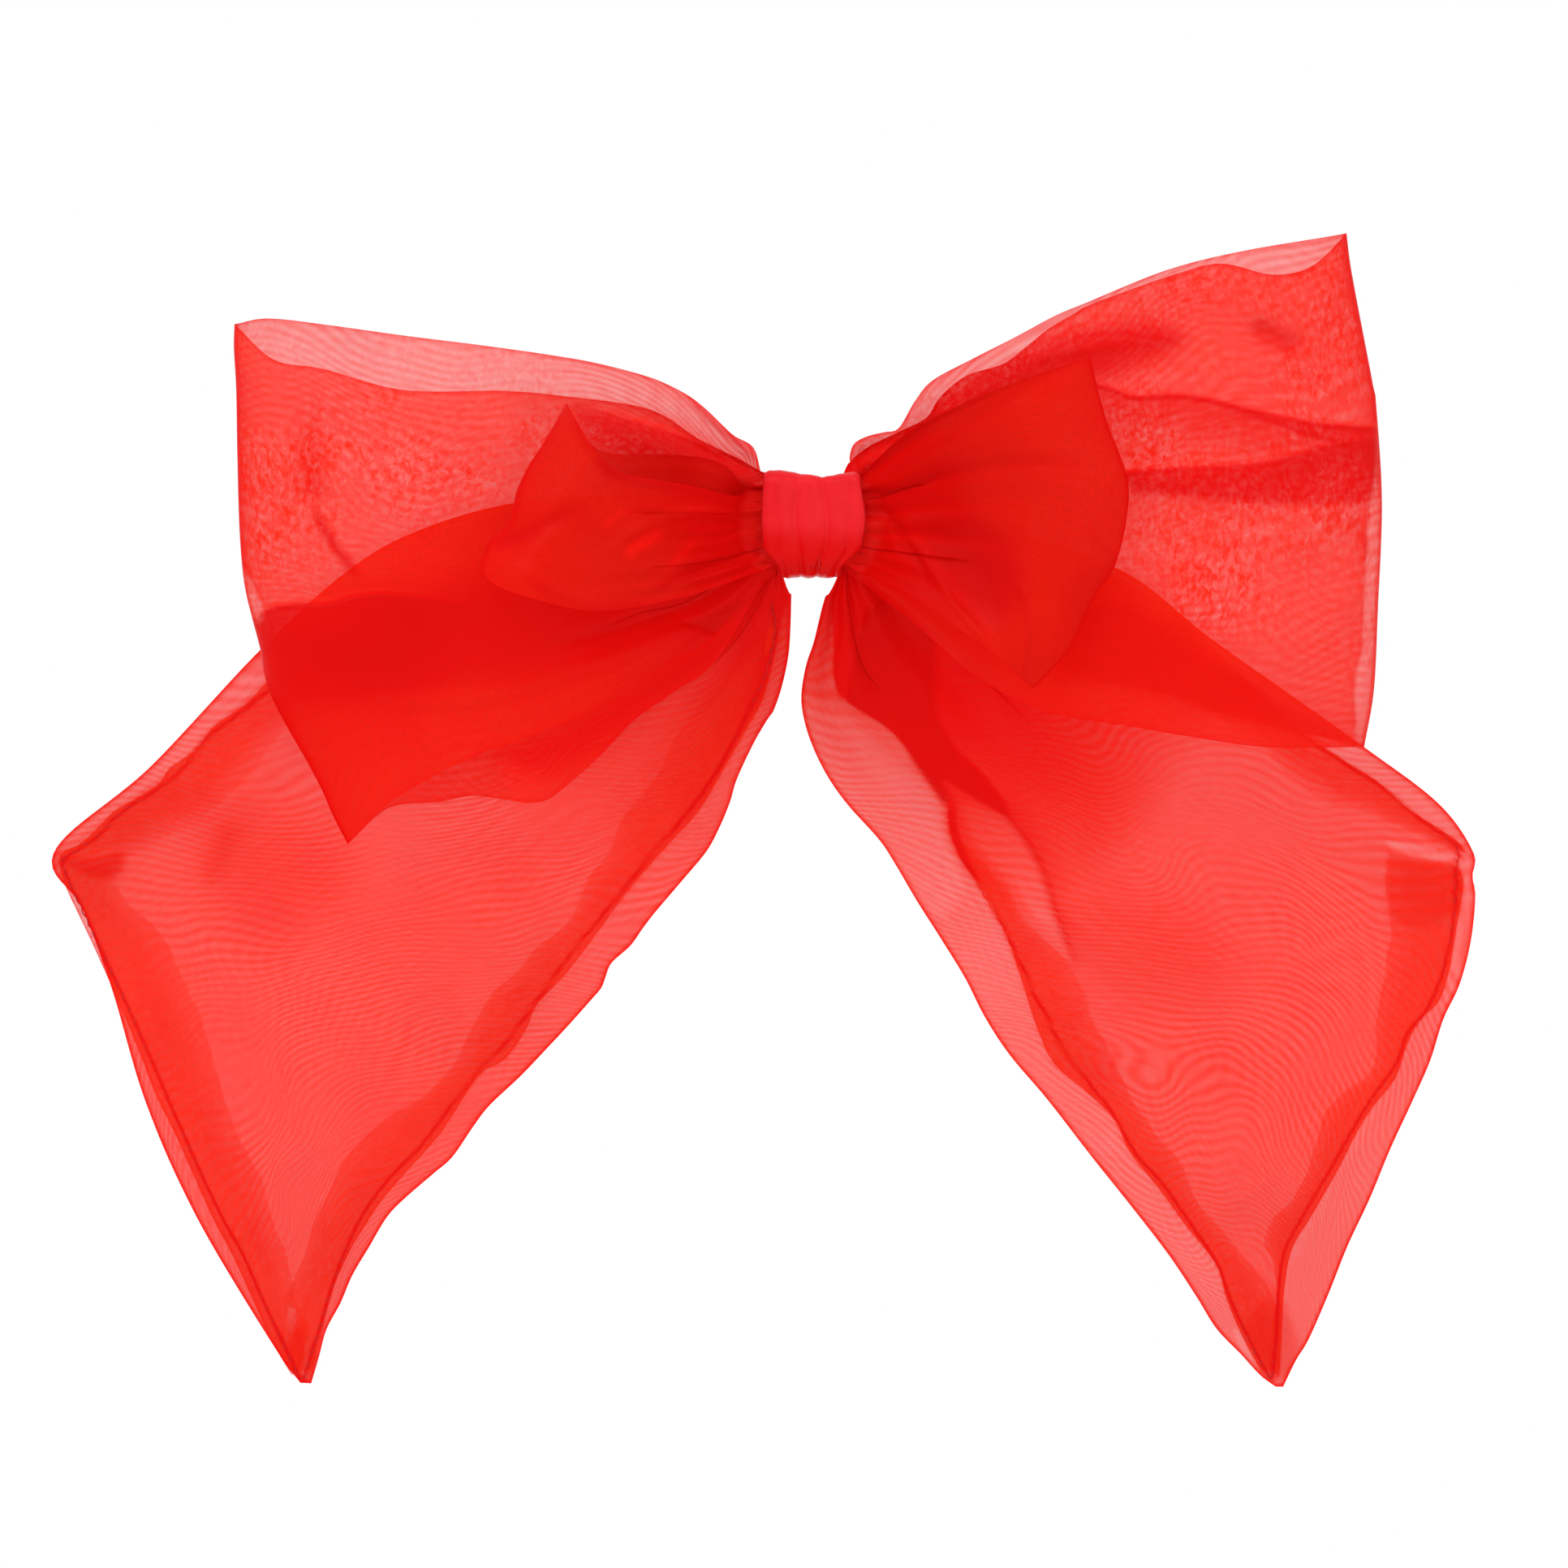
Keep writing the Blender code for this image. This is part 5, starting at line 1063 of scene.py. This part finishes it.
tail_pieces(
    "right", 1,
    inner=[(1.7, -15.2), (0.4, -20.6), (-1.0, -24.9), (-1.8, -30.3), (-1.1, -35.1), (0.6, -39.9), (3.1, -44.7), (6.5, -49.4), (11.9, -55.4), (14.8, -59.8), (18.5, -66.1), (22.7, -72.7), (27.0, -79.7), (30.5, -86.6), (34.9, -93.3), (41.5, -101.1), (49.0, -110.8), (56.1, -119.7), (62.5, -128.0), (67.3, -135.2), (71.0, -141.1), (75.3, -145.6), (78.7, -149.3), (81.4, -151.3)],
    top=[(30.0, -0.5), (54.0, -7.8), (71.0, -20.6), (96.6, -38.8), (110.1, -49.0), (116.2, -57.5)],
    outer=[(116.2, -58.2), (116.1, -61.8), (116.6, -65.5), (115.8, -73.2), (113.8, -80.8), (110.9, -86.9), (108.5, -94.2), (105.3, -101.3), (101.3, -109.7), (97.7, -118.3), (93.9, -126.4), (90.6, -134.8), (87.1, -142.9), (84.9, -146.6), (82.7, -151.3)],
    neck=(281, 365), start=-13.9, lean=8.0, z_low=-7.2, z_high=3.5, seed=61,
    seams=[(R_TOP_EDGE, R_TOP_SOFT, 0.25), (R_END_EDGE, R_END_SOFT, 0.55), (R_IN_EDGE, R_IN_SOFT, 0.5)],
    sewn_lines=[[(85.2, -36.2), (92.3, -41.2), (99.4, -45.7), (105.8, -51.0), (111.5, -55.0), (113.6, -57.2), (113.2, -61.1), (113.1, -66.1), (112.5, -71.7), (110.8, -78.8), (108.0, -85.2), (104.4, -89.5), (102.6, -94.5), (98.0, -100.9), (94.5, -106.5), (90.9, -112.9), (85.9, -121.4), (82.7, -127.8), (81.7, -135.7), (81.4, -142.8), (80.7, -149.9)],
                [(24.4, -50.4), (25.9, -56.8), (29.5, -63.5), (33.4, -70.3), (36.6, -76.7), (39.1, -82.4), (41.9, -87.6), (44.0, -91.9), (48.3, -97.6), (53.3, -104.0), (56.8, -110.4), (61.4, -115.5), (66.8, -123.2), (71.0, -129.5), (73.4, -135.9), (76.7, -143.0), (80.4, -149.9)]],
    field=R_TOP_EDGE + R_END_EDGE + R_IN_EDGE[::-1] + [(19.9, -43.0), (14.2, -36.2), (6.5, -31.0), (4.3, -27.7), (4.0, -19.2), (4.3, -7.8), (11.4, 3.6), (34.1, 0.7)],
    marks=[("patch", [(6.5, -31.0), (7.4, -22.0), (11.4, -13.5), (19.9, -13.5), (21.6, -22.0), (21.6, -32.0), (24.9, -39.1), (30.5, -44.7), (34.4, -50.7), (28.4, -47.6), (23.0, -44.5), (23.6, -49.0), (18.5, -41.9), (14.2, -36.2)], 0.7, 2.0, 0.6),
           ("crease", [(17.0, -39.8), (21.3, -44.7), (23.9, -49.0), (24.7, -54.0), (27.0, -59.2), (30.5, -64.3)], 0.9, 0.8, 0.3, (0.1, 0.2)),
           ("step", [(34.1, -50.4), (38.4, -56.1), (41.2, -61.8), (42.9, -67.5), (45.2, -73.9), (46.9, -79.5)], 1, 3.0, 0.30, 0.7, 0.65, (0.0, 0.25)),
           ("thin", [(26.3, -49.0), (33.8, -51.3), (38.1, -56.8), (42.0, -66.1), (45.2, -76.0), (41.2, -71.7), (34.8, -62.5), (28.4, -55.4)], 1.0, 0.82),
           ("crease", [(4.3, -22.7), (5.0, -28.4), (5.3, -33.1)], 0.8, 0.6, 0.3, (0.2, 0.4)),
           ("thin", [(-1.4, -30.5), (5.7, -33.4), (14.2, -40.5), (21.3, -48.3), (23.4, -54.7), (27.0, -63.2), (21.3, -68.9), (8.5, -53.3), (-2.1, -40.5)], 1.6, 0.86),
           ("patch", [(105.8, -87.6), (113.6, -83.1), (109.4, -95.9), (88.1, -144.2), (82.7, -149.9), (83.8, -131.4), (93.8, -111.5), (102.3, -97.3)], 1.0, 0.12, 0.0),
           ("patch", [(35.5, -36.2), (46.9, -37.6), (56.8, -44.7), (55.4, -56.1), (48.3, -58.9), (42.6, -51.8), (36.9, -44.7)], 9.0, 0.34, 0.8),
           ("patch", [(46.2, -63.2), (56.8, -64.6), (68.2, -71.7), (71.0, -81.0), (59.7, -83.1), (49.7, -78.8), (46.2, -71.7)], 8.0, 0.26, 0.8),
           ("patch", [(68.2, -84.5), (76.7, -91.6), (73.9, -101.6), (65.3, -97.3)], 7.0, 0.10, 0.5),
           ("patch", [(101.7, -57.5), (108.0, -59.2), (113.6, -60.1), (114.5, -61.8), (113.6, -67.5), (108.0, -70.3), (102.6, -69.6), (101.1, -63.2)], 1.0, 0.35, 0.3),
           ("thin", [(102.0, -55.5), (108.0, -56.7), (113.9, -58.4), (113.6, -59.5), (108.0, -58.7), (101.7, -57.2)], 0.4, 0.72),
           ("patch", [(75.3, -141.3), (79.5, -135.7), (82.1, -135.7), (85.2, -144.2), (82.1, -150.1)], 1.2, 0.45, 0.1),
           ("thin", [(73.9, -141.3), (76.0, -141.3), (78.1, -147.0), (76.7, -148.4)], 0.4, 0.8)],
    band=0.72, thick=0.029, thick_from=80.0)


# =====================================================================
# gathered middles: pleated bundles inside the band
# =====================================================================
def gathered_middle(node, pleats, half_x, seed):
    lo, hi = node_box(node)
    y0, y1 = lo[1] + 0.1, hi[1] - 0.1
    top = hi[2] - 0.25
    rows, cols = 15, pleats * 6 + 1
    rng = np.random.RandomState(seed)
    jit = rng.uniform(-0.25, 0.25, cols)
    P = np.zeros((rows, cols, 3))
    for i, s in enumerate(np.linspace(-1, 1, rows)):
        spread = 1.0 + 0.12 * abs(s) ** 2
        for j in range(cols):
            f = j / (cols - 1)
            phase = 2 * math.pi * pleats * f
            z = (-top + 2 * top * f) * min(spread, 1.05) * 0.97
            y = (y0 + y1) / 2 + (y1 - y0) / 2 * 0.92 * math.cos(phase + jit[j]) * (1 - 0.12 * abs(s))
            z += 0.32 * math.sin(phase * 0.5 + seed)
            P[i, j] = (s * half_x * (1 - 0.05 * math.cos(2 * phase)), y, z)
    obj = make_mesh(node + "_pleats", P.reshape(-1, 3), grid_faces(rows, cols),
                    organza(node + "_organza", 0.28, seed=seed), cloth_uv(P).reshape(-1, 2))
    put(obj, "dens", np.full(rows * cols, 1.4))
    # painted shade: the bundles inside the band are darkened and set to the deep colour
    put(obj, "shade", np.full(rows * cols, 0.80))
    put(obj, "coarse", np.ones(rows * cols))
    put(obj, "fringe", np.ones(rows * cols))
    put(obj, "warmth_and_shade", np.zeros(rows * cols))
    obj.visible_shadow = False
    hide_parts(node)
    # flat is fitted to this mesh, as for the loops
    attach(obj, ROOT)


gathered_middle("tails_gathered_middle", 11, 10.0, 71)
gathered_middle("big_bow_gathered_middle", 13, 10.6, 72)
gathered_middle("small_bow_gathered_middle", 11, 10.2, 73)


# =====================================================================
# centre band: a folded satin ribbon round the knot
# =====================================================================
def centre_band():
    y_front, y_back = band_lo[1], band_hi[1]
    z_top, z_bot = band_hi[2], band_lo[2]
    corners = [((y_front, z_top), 2.4), ((y_back, z_top), 2.2), ((y_back, z_bot), 2.2), ((y_front, z_bot), 4.6)]
    # ring path in (y, z), starting at the middle of the back, going over the top
    pts = []
    order = [1, 0, 3, 2]
    cs = [corners[k] for k in order]
    ctr = np.array([(y_front + y_back) / 2, 0.0])
    for (cy, cz), r in cs:
        sy = 1 if cy > ctr[0] else -1
        sz = 1 if cz > 0 else -1
        c = np.array([cy - sy * r, cz - sz * r])
        if (sy, sz) == (1, 1):
            a0, a1 = 0, 90
        elif (sy, sz) == (-1, 1):
            a0, a1 = 90, 180
        elif (sy, sz) == (-1, -1):
            a0, a1 = 180, 270
        else:
            a0, a1 = 270, 360
        for k in range(13):
            a = math.radians(a0 + (a1 - a0) * k / 12)
            pts.append((c[0] + r * math.cos(a), c[1] + r * math.sin(a)))
    pts = np.array(pts + [pts[0]])
    run = np.concatenate([[0], np.cumsum(np.linalg.norm(np.diff(pts, axis=0), axis=1))])
    n = 200
    s = np.linspace(0, run[-1], n, endpoint=False)
    py, pz = np.interp(s, run, pts[:, 0]), np.interp(s, run, pts[:, 1])
    ty, tz = np.roll(py, -1) - np.roll(py, 1), np.roll(pz, -1) - np.roll(pz, 1)
    ln = np.hypot(ty, tz)
    ny, nz = tz / ln, -ty / ln
    if (ny[0] * (py[0] - ctr[0]) + nz[0] * pz[0]) < 0:
        ny, nz = -ny, -nz
    # profile across the band: outer face with soft folds, then the inside face
    m_out, m_in = 61, 31
    t_out = np.linspace(-1, 1, m_out)
    t_in = np.linspace(1, -1, m_in + 2)[1:-1]
    P, U = [], []
    front = smoothstep((y_front + 6.0 - py) / 5.0)          # 1 on the front face
    bottom = smoothstep((-pz - 4.0) / 4.5)
    sink = -1.1 * np.maximum(0.0, nz) ** 2 * smoothstep((pz - 6) / 3.0)      # the dip in the top edge
    for i in range(n):
        w = 8.4 - 2.9 * bottom[i] - 0.9 * (1 - front[i]) * (1 - bottom[i])
        centre = -0.35 * bottom[i]
        bulge = 1.1 * math.exp(-((pz[i] - 0.7) / 5.0) ** 2) * front[i]
        row, urow = [], []
        for t in t_out:
            x = centre + w * t + (bulge if t > 0 else 0.35 * bulge * -1) * abs(t) ** 3
            folds = 0.0
            for cen, wid, hgt in ((-0.62, 0.10, 0.34), (-0.30, 0.07, -0.42), (-0.05, 0.12, 0.30), (0.27, 0.06, -0.46),
                                  (0.55, 0.10, 0.26), (0.78, 0.05, -0.30)):
                drift = cen + 0.05 * math.sin(0.35 * pz[i] + 7 * cen)
                folds += hgt * math.exp(-((t - drift) / wid) ** 2)
            folds *= 1 - 0.65 * max(0.0, nz[i]) ** 2
            lift = 0.05 + folds * (0.45 + 0.55 * front[i]) - 0.75 * max(0.0, abs(t) - 0.90) / 0.10 * 0.6
            dip = sink[i] * math.exp(-((t - 0.22) / 0.55) ** 2)
            off = lift + dip
            row.append((x, py[i] + ny[i] * off, pz[i] + nz[i] * off))
            urow.append((x + 20, s[i]))
        for t in t_in:
            x = centre + (w - 0.35) * t
            off = -0.55 + 0.1 * math.sin(9 * t) + sink[i] * math.exp(-((t - 0.22) / 0.55) ** 2)
            row.append((x, py[i] + ny[i] * off, pz[i] + nz[i] * off))
            urow.append((60 - x, s[i]))
        P.append(row)
        U.append(urow)
    P, U = np.array(P), np.array(U)
    cols = P.shape[1]
    faces = []
    for i in range(n):
        k = (i + 1) % n
        for j in range(cols):
            q = (j + 1) % cols
            faces.append((i * cols + j, i * cols + q, k * cols + q, k * cols + j))
    obj = make_mesh("centre_band_satin", P.reshape(-1, 3), faces, SATIN, U.reshape(-1, 2))
    # painted shade: darker towards the bottom of the band, more on its front face than round the back, and a little on
    # its left side
    put(obj, "painted_shade_mask", np.clip(smoothstep((0.9 - P[..., 2]) / 5.6) * np.where(P[..., 1] < ctr[0], 1.0, 0.45)
                              + 0.24 * smoothstep((-P[..., 0] - 1.0) / 6.0), 0, 1))
    obj.visible_shadow = False
    bm_obj = obj.data
    vol = 0.0
    co = P.reshape(-1, 3)
    for f in faces[:: max(1, len(faces) // 4000)]:
        a, b, c = co[f[0]], co[f[1]], co[f[2]]
        vol += np.dot(a - [0, ctr[0], 0], np.cross(b - a, c - a))
    if vol < 0:
        bm_obj.flip_normals()
    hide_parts("centre_band")
    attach(obj, ROOT)
    return obj


centre_band()

# =====================================================================
# carried-over pieces of the frame: threads and the barrette
# =====================================================================
for node, mat in (("binding_thread", THREAD), ("centre_band_stitches", THREAD),
                  ("barrette_base_plate", NICKEL), ("barrette_clasp_arm", NICKEL), ("barrette_latch_rivet", NICKEL),
                  ("barrette_hinge_pin", SPRING), ("barrette_latch_spring", SPRING), ("barrette_tension_leaf", SPRING),
                  ("barrette_latch_prong_upper", SPRING), ("barrette_latch_prong_lower", SPRING)):
    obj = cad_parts[node]
    if obj.material_slots:
        for s in obj.material_slots:
            s.material = mat
    else:
        obj.data.materials.append(mat)

bpy.context.view_layer.update()
